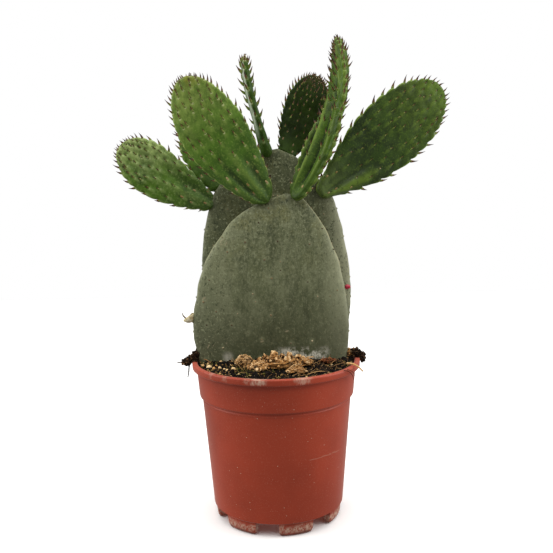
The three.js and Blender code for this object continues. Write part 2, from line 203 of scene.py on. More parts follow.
def outward(grid: Array, first: Array, last: Array) -> Array:
    """Outward normals of a woven grid, from differences along and round it.

    Args:
        grid: rows along the piece and columns round it.
        first: pole before the first row.
        last: pole after the last row.

    Returns:
        A normal for each point of the grid.
    """
    ends = np.broadcast_to(first, grid[:1].shape), np.broadcast_to(last, grid[:1].shape)
    padded = np.concatenate([ends[0], grid, ends[1]])
    along = padded[2:] - padded[:-2]
    around = np.roll(grid, -1, axis=1) - np.roll(grid, 1, axis=1)
    return unit(np.cross(around, along))


def joined(surfaces: list[Surface]) -> Surface:
    """Several surfaces as one, with the values that all of them have."""
    names = set.intersection(*(set(s.values) for s in surfaces))
    starts = np.cumsum([0] + [len(s.points) for s in surfaces[:-1]])
    return Surface(
        np.concatenate([s.points for s in surfaces]),
        np.concatenate([s.quads + n for s, n in zip(surfaces, starts)]),
        np.concatenate([s.triangles + n for s, n in zip(surfaces, starts)]),
        {name: np.concatenate([s.values[name] for s in surfaces]) for name in names},
    )


def turns_to(axes: Array, towards: Array) -> Array:
    """Turns that take Z to each axis and X as near as may be to a second direction.

    Args:
        axes: where Z goes, one row each.
        towards: the way X leans, one row each.

    Returns:
        One 3 by 3 matrix each, with the new X, Y and Z in its columns.
    """
    z = unit(axes)
    x = unit(towards - np.sum(towards * z, axis=-1, keepdims=True) * z)
    return np.stack([x, np.cross(z, x), z], axis=-1)


def scattered(shape: Surface, places: Array, turns: Array, sizes: Array,
              values: dict[str, Array] | None = None) -> Surface:
    """Copies of a shape: each is drawn out by its sizes, turned and moved to its place.

    Args:
        shape: what is repeated.
        places: where each copy goes.
        turns: a 3 by 3 matrix for each.
        sizes: three for each.
        values: a number for each, by name, which its vertices get.

    Returns:
        All copies as one surface.
    """
    count, each = len(places), len(shape.points)
    points = np.einsum("nij,nvj->nvi", turns, shape.points[None] * sizes[:, None]) + places[:, None]
    step = (np.arange(count) * each)[:, None, None]
    made = {name: np.tile(value, count) for name, value in shape.values.items()}
    made.update({name: np.repeat(value, each) for name, value in (values or {}).items()})
    return Surface(
        points.reshape(-1, 3),
        (shape.quads[None] + step).reshape(-1, 4),
        (shape.triangles[None] + step).reshape(-1, 3),
        made,
    )


def ball(rings: int, sides: int) -> Surface:
    """A ball of radius 1: rings at even latitudes, between two poles."""
    height = -np.cos(np.pi * np.arange(1, rings + 1) / (rings + 1))[:, None]
    angle = round_angles(sides)[None]
    radius = np.sqrt(1 - height**2)
    grid = np.stack([radius * np.cos(angle), radius * np.sin(angle), height + 0 * angle], axis=-1)
    return woven(grid, np.array([0.0, 0.0, -1.0]), np.array([0.0, 0.0, 1.0]))


def spike(rings: int, sides: int, bend: float, fullness: float) -> Surface:
    """A pointed spike from 0 to 1 along Z: its radius falls as (1 - t)^fullness, and it bends to X.

    Args:
        rings: sections along it.
        sides: sides of a section.
        bend: how far its point is carried to X, growing as t^2.
        fullness: under 1 for a fat spike that ends quickly.

    Returns:
        The spike, with the value reach from 0 at its root to 1 at its point.
    """
    t = (np.arange(rings) / rings)[:, None]
    angle = round_angles(sides)[None]
    radius = (1 - t) ** fullness * (0.78 + 0.22 * np.sin(np.pi * np.minimum(t * 1.6, 1.0)))
    x, y = radius * np.cos(angle) + bend * t**2, radius * np.sin(angle)
    grid = np.stack([x, y, t + 0 * angle], axis=-1)
    made = woven(grid, None, np.array([bend, 0.0, 1.0]))
    made.values["reach"] = np.concatenate([np.repeat(t.ravel(), sides), [0.0], [1.0]])
    return made


def tubes(paths: Array, radii: Array, sides: int, taper: float = 0.0) -> Surface:
    """Round threads along many paths of equal count of points, closed at both ends.

    Args:
        paths: for each thread, its points in order.
        radii: radius of each thread.
        sides: sides of the section.
        taper: share of the radius that is lost to the end.

    Returns:
        All threads as one surface, with a value tone that differs from thread to thread.
    """
    count, steps = paths.shape[:2]
    along = unit(np.gradient(paths, axis=1))
    side = unit(np.cross(along, OFF_ALL_THREADS))
    other = np.cross(along, side)
    angle = round_angles(sides)
    width = radii[:, None] * (1 - taper * np.arange(steps)[None] / (steps - 1))
    round_it = np.cos(angle)[:, None] * side[:, :, None] + np.sin(angle)[:, None] * other[:, :, None]
    grid = paths[:, :, None] + width[:, :, None, None] * round_it
    each = [woven(grid[i], paths[i, 0], paths[i, -1]) for i in range(count)]
    tones = (np.arange(count) * GOLDEN_SHARE) % 1.0
    for surface, tone in zip(each, tones):
        surface.values["tone"] = np.full(len(surface.points), tone)
    return joined(each)


def catmull_rom(points: Array, t: Array) -> Array:
    """A smooth curve through points, each stretch a cubic with slopes of half the chord beside it.

    Args:
        points: the points, one row each.
        t: places along the curve, from 0 to 1, with the points evenly spaced.

    Returns:
        The curve's point at each place.
    """
    place = np.clip(t, 0, 1) * (len(points) - 1)
    start = np.minimum(place.astype(int), len(points) - 2)
    w = (place - start)[:, None]
    p0, p1 = points[np.maximum(start - 1, 0)], points[start]
    p2, p3 = points[start + 1], points[np.minimum(start + 2, len(points) - 1)]
    v0, v1 = (p2 - p0) / 2, (p3 - p1) / 2
    return (2 * p1 - 2 * p2 + v0 + v1) * w**3 + (3 * p2 - 3 * p1 - 2 * v0 - v1) * w**2 + v0 * w + p1


def curves(paths: tuple[Path, ...], count: int) -> Array:
    """Points of a smooth curve through each path, as many for each."""
    return np.stack([catmull_rom(np.array(path, float), np.linspace(0, 1, count)) for path in paths])


def hills(points: Array, tops: Array, spread: float) -> Array:
    """Height of round hills at given tops: the largest exp(-(distance / spread)^2) at each point."""
    height = np.zeros(len(points))
    for top in tops:
        height = np.maximum(height, np.exp(-np.sum((points - top) ** 2, axis=1) / spread**2))
    return height


def cushions(points: Array, tops: Array, along: Array, before: float, after: float,
             wide: float) -> Array:
    """Height of long hills: the largest exp(-(a / long)^2 - (b / wide)^2), a along and b across.

    Args:
        points: where it is wanted.
        tops: the hills' tops.
        along: the way that each is long.
        before: long before the top.
        after: long beyond it.
        wide: half width.

    Returns:
        The height at each point, from 0 to 1.
    """
    height = np.zeros(len(points))
    for top, way in zip(tops, along):
        apart = points - top
        lengthwise = apart @ way
        across = np.sum(apart**2, axis=1) - lengthwise**2
        slope = np.where(lengthwise < 0, before, after)
        height = np.maximum(height, np.exp(-((lengthwise / slope) ** 2) - across / wide**2))
    return height


# ------------ materials


def operator(operation: str, swapped: bool = False) -> Callable[["Signal", object], "Signal"]:
    """A method of Signal that adds a Math node.

    Args:
        operation: the node's operation.
        swapped: whether the other number comes first.

    Returns:
        The method.
    """
    def method(signal: "Signal", other: object) -> "Signal":
        """The node's result for this signal and another number."""
        first, second = (other, signal) if swapped else (signal, other)
        return signal.recipe.node("ShaderNodeMath", {"operation": operation}, {0: first, 1: second})
    return method


@dataclass
class Signal:
    """A number, colour or vector on its way through a material.

    The larger of two numbers is most. The angle whose sine goes with this number and whose
    cosine goes with the other is angle_from, in radians.

    Args:
        recipe: the material that it belongs to.
        socket: the output that carries it.
    """

    recipe: "Recipe"
    socket: bpy.types.NodeSocket

    __add__, __radd__ = operator("ADD"), operator("ADD", True)
    __sub__, __rsub__ = operator("SUBTRACT"), operator("SUBTRACT", True)
    __mul__, __rmul__ = operator("MULTIPLY"), operator("MULTIPLY", True)
    most, angle_from = operator("MAXIMUM"), operator("ARCTAN2")
    _size = operator("ABSOLUTE")

    def __abs__(self) -> "Signal":
        """Size without the sign."""
        return self._size(0.0)

    def band(self, low: float, high: float) -> "Signal":
        """0 up to low and 1 past high, smoothly between; low may be the larger."""
        settings = {"interpolation_type": "SMOOTHSTEP"}
        inputs = {"Value": self, "From Min": low, "From Max": high}
        return self.recipe.node("ShaderNodeMapRange", settings, inputs)


def tint(code: Colour) -> tuple[float, float, float, float]:
    """Linear colour of a screen colour written as six hex digits."""
    parts = [int(code[i:i + 2], 16) / 255 for i in (0, 2, 4)]
    linear = [p / 12.92 if p <= 0.04045 else ((p + 0.055) / 1.055) ** 2.4 for p in parts]
    return (*linear, 1.0)


class Recipe:
    """The node tree of one material."""

    def __init__(self, name: str) -> None:
        """Starts a material with a Principled shader.

        Args:
            name: the material's name.
        """
        self.material = bpy.data.materials.new(name)
        self.material.use_nodes = True
        self.tree = self.material.node_tree
        self.tree.nodes.clear()
        self.shader = self.tree.nodes.new("ShaderNodeBsdfPrincipled")
        output = self.tree.nodes.new("ShaderNodeOutputMaterial")
        self.tree.links.new(self.shader.outputs[0], output.inputs[0])
        self.place = self.node("ShaderNodeTexCoord", {}, {}, "Object")

    def _feed(self, socket: bpy.types.NodeSocket, value: object) -> None:
        """Links a signal to a socket, or sets a colour or number on it."""
        if isinstance(value, Signal):
            self.tree.links.new(value.socket, socket)
        else:
            socket.default_value = tint(value) if isinstance(value, str) else value

    def node(self, kind: str, settings: dict[str, object], inputs: dict[str | int, object],
             output: str | int = 0) -> Signal:
        """Adds a node.

        Args:
            kind: the node's type.
            settings: its settings.
            inputs: what goes to its sockets.
            output: the output that is returned.

        Returns:
            The signal from that output.
        """
        made = self.tree.nodes.new(kind)
        for name, value in settings.items():
            setattr(made, name, value)
        for key, value in inputs.items():
            self._feed(made.inputs[key], value)
        return Signal(self, made.outputs[output])

    def noise(self, scale: float, detail: float = 3.0, upright: float = 1.0, roughness: float = 0.55,
              distortion: float = 0.0) -> Signal:
        """Noise from 0 to 1 at a place on the object.

        Args:
            scale: patches to a metre.
            detail: octaves.
            upright: factor on z; a small one draws patches out upwards.
            roughness: strength of fine octaves.
            distortion: how far the pattern is swirled.

        Returns:
            The noise's factor.
        """
        place = self.place
        if upright != 1:
            inputs = {0: place, 1: (1, 1, upright)}
            place = self.node("ShaderNodeVectorMath", {"operation": "MULTIPLY"}, inputs)
        inputs = {"Vector": place, "Scale": scale, "Detail": detail, "Roughness": roughness,
                  "Distortion": distortion}
        return self.node("ShaderNodeTexNoise", {}, inputs)

    def wander(self, scale: float, detail: float, reach: float, upright: float = 1.0) -> Signal:
        """Noise about 0 that moves a line or an edge to and fro, by half its reach at most."""
        return (self.noise(scale, detail, upright) - 0.5) * reach

    def cells(self, scale: float) -> Signal:
        """Distance to the nearest of scattered points, about scale of them to a metre."""
        return self.node("ShaderNodeTexVoronoi", {}, {"Vector": self.place, "Scale": scale}, "Distance")

    def axis(self, which: str) -> Signal:
        """Object coordinate X, Y or Z in metres."""
        return self.node("ShaderNodeSeparateXYZ", {}, {0: self.place}, which)

    def value(self, name: str) -> Signal:
        """A number stored at the vertices."""
        return self.node("ShaderNodeAttribute", {"attribute_name": name}, {}, "Fac")

    def mix(self, mask: object, under: object, over: object) -> Signal:
        """Colour under where the mask is 0, with over laid on it where the mask is 1."""
        return self.node("ShaderNodeMix", {"data_type": "RGBA"}, {0: mask, 6: under, 7: over}, 2)

    def layers(self, colour: object, *laid: tuple[object, object]) -> Signal:
        """Lays colours on a colour, one after another.

        Args:
            colour: the lowest colour.
            laid: for each layer, its mask and its colour.

        Returns:
            The colour with every layer on it.
        """
        for mask, over in laid:
            colour = self.mix(mask, colour, over)
        return colour

    def finish(self, colour: object, roughness: object, height: Signal | None = None,
               depth: float = 0.001, strength: float = 0.5, **constants: float | Colour) -> Material:
        """Feeds the shader.

        Args:
            colour: base colour.
            roughness: roughness.
            height: relief from 0 to 1 for the Bump node, or none.
            depth: metres from the relief's bottom to its top.
            strength: strength of the relief.
            constants: other sockets' values, with _ for a space.

        Returns:
            The finished material.
        """
        inputs = {"Base Color": colour, "Roughness": roughness}
        if height is not None:
            bump = {"Height": height, "Distance": depth, "Strength": strength}
            inputs["Normal"] = self.node("ShaderNodeBump", {}, bump)
        inputs.update({name.replace("_", " "): value for name, value in constants.items()})
        for name, value in inputs.items():
            self._feed(self.shader.inputs[name], value)
        return self.material


@dataclass(frozen=True)
class PotPlastic:
    """Moulded terracotta-coloured plastic, with lime on its lip and feet, specks and a scratch.

    Marks are placed by bearing round the pot in degrees, 0 at the front, and by height in metres.
    """

    axis: Vector
    body: Colour = "a33b20"
    dark: Colour = "903219"
    mottle: Colour = "b86a52"
    lime: Colour = "d0b79f"
    dirt: Colour = "3f3524"
    sheen: Colour = "f4d6c8"
    lip_foot: float = 0.136
    foot_top: float = 0.0118
    smears: tuple[Point, ...] = (
        (-12.7, 7.0, 1.0), (17.0, 6.0, 0.85), (-47.0, 2.5, 0.5), (-34.0, 2.0, 0.45),
    )
    scratch_from: Pair = (23.5, 0.0685)
    scratch_to: Pair = (62.0, 0.0675)

    def specks(self, r: Recipe) -> Signal:
        """Scattered specks of lime, a few large and many faint ones."""
        large = r.cells(190).band(0.075, 0.04) * r.noise(60, 1).band(0.42, 0.56)
        faint = r.cells(600).band(0.13, 0.05) * r.noise(70, 3).band(0.42, 0.6) * 0.55
        return large.most(faint)

    def lip_smears(self, r: Recipe, bearing: Signal, height: Signal) -> Signal:
        """Lime that ran down the lip in fine streaks: middle, half width and strength of each."""
        streaks = r.noise(2300, 2, 0.1, 0.6).band(0.28, 0.62)
        streaks = streaks * r.noise(300, 4, 0.5).band(0.3, 0.52)
        start = height + r.wander(900, 2, 0.007, 0.05)
        on_lip = start.band(self.lip_foot + 0.0002, self.lip_foot + 0.0022)
        strayed = bearing + r.wander(260, 3, 9.0)
        smear: object = 0.0
        for middle, half, strength in self.smears:
            near = abs(strayed - middle).band(half * 1.15, half * 0.35)
            smear = (near * on_lip * streaks * strength).most(smear)
        return smear

    def scratch(self, r: Recipe, bearing: Signal, height: Signal) -> Signal:
        """A thin pale line that wanders from one bearing and height to another."""
        (angle_a, z_a), (angle_b, z_b) = self.scratch_from, self.scratch_to
        line = z_a + (bearing - angle_a) * ((z_b - z_a) / (angle_b - angle_a)) + r.wander(120, 2, 0.003)
        within = bearing.band(angle_a, angle_a + 2) * bearing.band(angle_b, angle_b - 8)
        return abs(height - line).band(0.0006, 0.0002) * within * r.noise(150, 3).band(0.25, 0.5)

    def make(self) -> Material:
        """Mixes the plastic with its marks, a crust of lime on the feet and dirt under it."""
        r = Recipe("pot_plastic")
        height = r.axis("Z")
        bearing = (r.axis("X") - self.axis.x).angle_from(self.axis.y - r.axis("Y")) * (180 / pi)
        uneven = height + r.wander(120, 3, 0.009)
        crust = uneven.band(self.foot_top, self.foot_top - 0.005) * height.band(0.0012, 0.0055)
        crust = crust * r.noise(520, 5, 0.7, 0.75).band(0.4, 0.6)
        dirty = uneven.band(0.0042, 0.0012) * r.noise(300, 3).band(0.3, 0.55)
        marks = self.specks(r).most(self.lip_smears(r, bearing, height) * 0.68)
        marks = marks.most(self.scratch(r, bearing, height) * 0.2).most(crust * 0.7)
        colour = r.layers(
            self.body,
            (r.noise(14, 3).band(0.35, 0.7), self.dark),
            (r.noise(900, 2).band(0.5, 0.8) * 0.25, self.mottle),
            (marks, self.lime),
            (dirty * 0.6, self.dirt),
        )
        roughness = 0.42 + marks * 0.4 + r.noise(35, 2) * 0.1
        relief = r.noise(1100, 2) * 0.3 + marks * 0.7
        return r.finish(colour, roughness, relief, 0.00025, 0.35, Specular_IOR_Level=0.35,
                        Sheen_Weight=0.4, Sheen_Roughness=0.3, Sheen_Tint=self.sheen)


@dataclass(frozen=True)
class OldSkin:
    """Grey-green skin of an old pad: waxy bloom, olive patches, streaks and a corky margin, with painted
    shade low down and, as much as shade says, over the whole pad, a painted sheen towards its edges and
    sides, and painted light on its right side.
    """

    green: Colour = "5c6141"
    deep: Colour = "404529"
    bloom: Colour = "868968"
    olive: Colour = "68683c"
    pale: Colour = "bcbb9a"
    foot: Colour = "393c26"
    light_fleck: Colour = "8f926f"
    dark_fleck: Colour = "2c3319"
    cork: Colour = "b0a47c"
    chalk: Colour = "cbc6b4"
    scar: Colour = "93886a"
    sheen: Colour = "dfe3d0"
    soil_line: float = 0.141
    chalk_from: float = -0.002
    chalk_to: float = 0.05
    haze_at: float = 0.0425
    shade: float = 0.0
    corky: float = 0.85
    painted_light_right: float = 0.35
    side_sheen: float = 0.4
    flecked: float = 0.35
    mottled: float = 0.45

    def chalky(self, r: Recipe, height: Signal, across: Signal) -> Signal:
        """Chalk that the soil left on the skin: a broken stain, and a soft one beside it."""
        line = self.soil_line
        base = height.band(line + 0.0145, line + 0.0085)
        where = across.band(self.chalk_from, self.chalk_from + 0.008)
        where = where * across.band(self.chalk_to, self.chalk_to - 0.01)
        broken = 0.15 + 0.85 * r.noise(520, 4, 0.5, 0.75).band(0.4, 0.56)
        stain = base * where * (r.noise(130, 3).band(0.36, 0.5) * broken)
        haze = abs(across + self.haze_at).band(0.0065, 0.0005) * height.band(line + 0.0115, line + 0.0045)
        return stain.most(haze * 0.6 * r.noise(260, 3).band(0.2, 0.6))

    def make(self, name: str, axis: Vector) -> Material:
        """Mixes the skin; edge, scar and near are numbers at the vertices.

        Args:
            name: the material's name.
            axis: the pot's axis, from which places across the pad are measured.

        Returns:
            The skin.
        """
        r = Recipe(name)
        height, edge, across = r.axis("Z"), r.value("edge"), r.axis("X") - axis.x
        streaks = r.noise(120, 5, 0.13, 0.65)
        grain = r.noise(620, 3, 0.7, 0.7)
        high_or_left = height.band(0.2, 0.27).most(across.band(-0.025, -0.055))
        flecks = high_or_left * self.mottled + self.flecked
        margin = edge.band(0.7, 0.9) * r.noise(130, 3).band(0.36, 0.6) * height.band(0.2, 0.26)
        margin = margin * (0.3 + 0.7 * across.band(-0.01, 0.02))
        chalk = self.chalky(r, height, across)
        colour = r.layers(
            self.green,
            (streaks.band(0.4, 0.66) * 0.85, self.deep),
            (r.noise(30, 5, 0.55, 0.65, 0.6).band(0.46, 0.7) * 0.55, self.bloom),
            (r.noise(260, 4, 0.4, 0.7).band(0.52, 0.68) * 0.5, self.bloom),
            (height.band(0.2, 0.29) * r.noise(55, 4).band(0.45, 0.62) * 0.75, self.olive),
            # painted sheen: the bloom colour laid towards the pad's rounded edges, for the reflection there
            (edge.band(0.02, 0.7) * 0.4, self.bloom),
            (grain.band(0.45, 0.7) * 0.5, self.bloom),
            (r.noise(170, 4, 0.6, 0.7).band(0.5, 0.66) * 0.55, self.deep),
            (r.noise(420, 3).band(0.54, 0.7) * 0.45, self.deep),
            # painted sheen: paler towards both sides of the pad
            (abs(across).band(0.025, 0.06) * self.side_sheen, self.bloom),
            # painted light: the pad's right side is painted paler, where light falls on it
            (across.band(0.036, 0.07) * self.painted_light_right, self.pale),
            # painted shade: the pad is painted darker low down, towards the soil
            (height.band(0.225, 0.15) * 0.65, self.foot),
            (self.shade, self.deep),
            (r.noise(480, 4, 1.0, 0.75).band(0.53, 0.66) * flecks, self.light_fleck),
            (r.noise(380, 4, 0.8, 0.75).band(0.47, 0.34) * flecks, self.dark_fleck),
            (margin * self.corky, self.cork),
            (chalk, self.chalk),
            (r.value("near").band(0.2, 0.8) * 0.35, self.bloom),
            (r.value("scar").band(0.3, 0.8) * 0.75, self.scar),
        )
        roughness = 0.5 + grain * 0.16 + chalk * 0.25
        return r.finish(colour, roughness, grain * 0.5 + streaks * 0.5, 0.0006, 0.45,
                        Specular_IOR_Level=0.3, Sheen_Weight=0.15, Sheen_Roughness=0.4,
                        Sheen_Tint=self.sheen)


@dataclass(frozen=True)
class YoungSkin:
    """Bright green skin of a young pad, yellower towards its tip, duller at its foot, and painted lighter
    where it is lit.

    Most numbers are strengths: gloss is the specular level, painted_light the painted light on the
    lit part, cushion a painted highlight on the bosses, furrow painted shade in the furrows,
    ridge_highlight a painted highlight on the ridges, bloom_and_sheen a whitish waxy bloom with a
    painted reflection on one face and dot a painted highlight at the leaves' roots. The
    painted light grows over lit_along of the length, or between two heights where lit_height is given.
    """

    green: Colour = "4f7119"
    deep: Colour = "2f4a0f"
    light: Colour = "93a755"
    tip: Colour = "6f7c22"
    foot: Colour = "3d5220"
    glint_colour: Colour = "cfcf9c"
    hollow: Colour = "1c2c0a"
    crevice_shade: Colour = "24350d"
    bloom_and_sheen_tint: Colour = "c3cbb8"
    gloss: float = 0.28
    painted_light: float = 0.5
    cushion: float = 0.25
    furrow: float = 0.6
    bloom_and_sheen: float = 0.0
    patchy: float = 0.7
    rim: float = 0.5
    ridge_highlight: float = 0.25
    dot: float = 0.35
    lit_along: Pair = (0.2, 0.8)
    lit_height: Pair | None = None

    def make(self, name: str) -> Material:
        """Mixes the skin; the values it reads are numbers at the vertices, as YoungPad.build says.

        Args:
            name: the material's name.

        Returns:
            The skin.
        """
        r = Recipe(name)
        along = r.value("along")
        lit = r.axis("Z").band(*self.lit_height) if self.lit_height else along.band(*self.lit_along)
        pale = 0.4 + 0.6 * r.noise(150, 4, 0.5, 0.65).band(0.4, 0.66)
        colour = r.layers(
            self.green,
            (r.noise(55, 4, 0.8, 0.6, 0.7).band(0.42, 0.64) * self.patchy, self.deep),
            # painted light: the lit part of the pad, between lit_height's heights where given and else over
            # lit_along, is painted lighter; some of it is the tip's own paler colour
            (pale * lit * self.painted_light, self.light),
            (along.band(0.86, 1.0) * 0.5 * r.noise(80, 2).band(0.35, 0.6), self.tip),
            (along.band(0.45, 0.05) * 0.6, self.foot),
            # painted highlight: the tops of the bosses under the leaves are painted with the light colour
            (r.value("areole").band(0.45, 0.9) * self.cushion, self.light),
            # painted highlight: a pale spot at each leaf's root
            (r.value("dot").band(0.25, 0.8) * self.dot, self.glint_colour),
            # painted shade: the furrows are painted dark
            (r.value("groove").band(0.05, 0.75) * self.furrow, self.hollow),
            # painted highlight: the ridges of the folds are painted with the light colour
            (r.value("ridge").band(0.1, 0.95) * self.ridge_highlight, self.light),
            # painted shade: the crevice beyond each leaf is painted dark
            (r.value("crevice").band(0.3, 0.9) * 0.6, self.crevice_shade),
            (r.value("edge").band(0.82, 0.98) * self.rim, self.light),
        )
        # partly a whitish waxy bloom and partly a painted reflection, on the face that the bloom value marks
        if self.bloom_and_sheen:
            bloom_and_sheen = r.value("bloom") * r.noise(150, 3, 0.35).band(0.3, 0.52)
            bloom_and_sheen = bloom_and_sheen * along.band(0.08, 0.3) * along.band(0.95, 0.8)
            colour = r.mix(bloom_and_sheen * self.bloom_and_sheen, colour, self.bloom_and_sheen_tint)
        colour = r.layers(
            colour,
            (r.noise(330, 4, 0.6, 0.7).band(0.5, 0.7) * 0.45, self.deep),
            (r.noise(620, 3).band(0.5, 0.75) * 0.3, self.light),
        )
        relief = r.noise(420, 3) * 0.5 + r.noise(90, 3, 0.4) * 0.5
        return r.finish(colour, 0.3 + r.noise(60, 3) * 0.22, relief, 0.0005, 0.4,
                        Specular_IOR_Level=self.gloss)


@dataclass(frozen=True)
class LeafSkin:
    """Small fleshy leaves: green at the root, then red-brown and dark at the point."""

    root: Colour = "76863c"
    middle: Colour = "644427"
    point: Colour = "33180f"
    fleck: Colour = "b3945c"

    def make(self) -> Material:
        """Mixes by the way along the leaf, which browns earlier on some leaves."""
        r = Recipe("young_leaves")
        way = r.value("reach") + (r.value("tone") - 0.5) * 0.45
        colour = r.layers(
            self.root,
            (way.band(0.12, 0.4), self.middle),
            (way.band(0.38, 0.72), self.point),
            (r.noise(900, 2).band(0.5, 0.8) * 0.4 * way.band(0.6, 0.2), self.fleck),
        )
        return r.finish(colour, 0.5 + r.noise(300, 2) * 0.2, r.noise(1400, 2), 0.0001, 0.3,
                        Specular_IOR_Level=0.25)


@dataclass(frozen=True)
class Speckled:
    """A dull finish between three colours, by a number at the vertices and by noise."""

    name: str
    dark: Colour
    middle: Colour
    pale: Colour
    grain: float = 700.0
    relief: float = 0.0004
    roughness: float = 0.9
    hollow: float = 0.0
    stain: float = 0.0
    stained: Colour = "6a4022"

    def make(self) -> Material:
        """Mixes dark to pale by tone, breaks it up by noise, and paints shade into the hollows if there are
        any.
        """
        r = Recipe(self.name)
        tone = r.value("tone") * 0.75 + r.noise(self.grain * 0.35, 3) * 0.25
        grain = r.noise(self.grain, 4, 1.0, 0.65)
        colour = r.layers(
            self.dark,
            (tone.band(0.15, 0.55), self.middle),
            (tone.band(0.6, 0.95), self.pale),
            (grain.band(0.5, 0.72) * 0.5, self.pale),
            (grain.band(0.45, 0.28) * 0.6, self.dark),
        )
        if self.stain:
            colour = r.mix(r.noise(170, 3).band(0.46, 0.64) * self.stain, colour, self.stained)
        # painted shade: darker where the vertices mark a hollow
        if self.hollow:
            colour = r.mix(r.value("hollow").band(0.35, 0.75) * self.hollow, colour, self.dark)
        return r.finish(colour, self.roughness, grain, self.relief, 0.7, Specular_IOR_Level=0.12)


@dataclass(frozen=True)
class RedSkin:
    """Smooth crimson skin of a bud, with darker patches."""

    crimson: Colour = "b01c34"
    dark: Colour = "7c1426"

    def make(self) -> Material:
        """Mixes crimson with the darker patches."""
        r = Recipe("red_bud")
        colour = r.mix(r.noise(500, 2).band(0.4, 0.7), self.crimson, self.dark)
        return r.finish(colour, 0.28 + r.noise(700, 2) * 0.1, r.noise(900, 2), 0.0001, 0.3)


LEAF = LeafSkin()
RED_BUD = RedSkin()
DRY_AREOLE = Speckled("dry_areole", "4a321c", "8f7644", "dccfa6", 1500, 0.0002)
OLD_AREOLE = Speckled("old_areole", "33281a", "7b6a4c", "c2b491", 1500, 0.0002)
PEAT = Speckled("peat", "060403", "150e09", "46362a", 900, 0.0008)
SPILLED_PEAT = Speckled("spilled_peat", "0a0604", "2c1d12", "8a6844", 900, 0.0008)
MINERAL = Speckled("mineral_grains", "7a4f2a", "c9985a", "ead0a0", 900, 0.0004)
BARK_BITS = Speckled("bark_bits", "3b2a16", "8d6c3c", "d8bd86", 1200, 0.0003)
MOSS = Speckled("moss", "26260f", "524e20", "8c8044", 1200, 0.0003, 0.95)
FIBRE = Speckled("fibre", "2e1d12", "8f6a42", "caa36d", 1200, 0.0002)
ROOT = Speckled("root", "20150f", "4a3524", "8a6a48", 1500, 0.0002)
BARK = Speckled("bark", "1c0f07", "a87842", "edcb98", 650, 0.0008, 0.92, 0.9, 0.3)
RED_BARK = Speckled("bark_red", "1d0f0a", "6b3a20", "a8693f", 650, 0.0006, 0.9, 0.8)
OLIVE_BARK = Speckled("bark_olive", "35240f", "a98150", "e2c496", 1100, 0.0006, 0.92, 0.8, 0.3)
STRAW = Speckled("straw", "c79a5e", "ecd09a", "faeed2", 900, 0.0002, 0.6)
DRY_BUD = Speckled("dry_bud", "54401f", "c2b184", "ece3c2", 700, 0.0004)


# ------------ bench


def linked(name: str, data: bpy.types.ID) -> bpy.types.Object:
    """A new object with this mesh, light or camera, in the scene."""
    made = bpy.data.objects.new(name, data)
    bpy.context.scene.collection.objects.link(made)
    return made


class Bench:
    """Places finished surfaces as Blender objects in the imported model's frame."""

    def __init__(self) -> None:
        """Finds the pot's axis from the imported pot."""
        low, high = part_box("pot")
        self.axis = Vector(((low.x + high.x) / 2, (low.y + high.y) / 2, low.z))
        self.finishes: dict[object, Material] = {}

    def finish(self, kind: Speckled | LeafSkin | RedSkin) -> Material:
        """A finish as a material, which is made once for all pieces that take it."""
        if kind not in self.finishes:
            self.finishes[kind] = kind.make()
        return self.finishes[kind]

    def place(self, name: str, surface: Surface, material: Material, slot: Slot | None = None,
              replaces: str | None = None) -> bpy.types.Object:
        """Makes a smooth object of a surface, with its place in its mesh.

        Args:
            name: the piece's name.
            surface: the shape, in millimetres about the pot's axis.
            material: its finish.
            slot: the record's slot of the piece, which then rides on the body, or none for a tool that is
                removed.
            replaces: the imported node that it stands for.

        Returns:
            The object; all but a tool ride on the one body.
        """
        mesh = bpy.data.meshes.new(name)
        faces = surface.quads.tolist() + surface.triangles.tolist()
        mesh.from_pydata((surface.points * MM + np.array(self.axis)).tolist(), [], faces)
        mesh.polygons.foreach_set("use_smooth", np.ones(len(faces), bool))
        for key, numbers in surface.values.items():
            mesh.attributes.new(key, "FLOAT", "POINT").data.foreach_set("value", numbers.astype(np.float32))
        mesh.materials.append(material)
        mesh.validate()
        made = linked(name, mesh)
        if slot:
            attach(made, "root")
        if replaces:
            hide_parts(replaces)
        LOG.info("%s: %d vertices, %d faces", name, len(mesh.vertices), len(mesh.polygons))
        return made


# ------------ pot


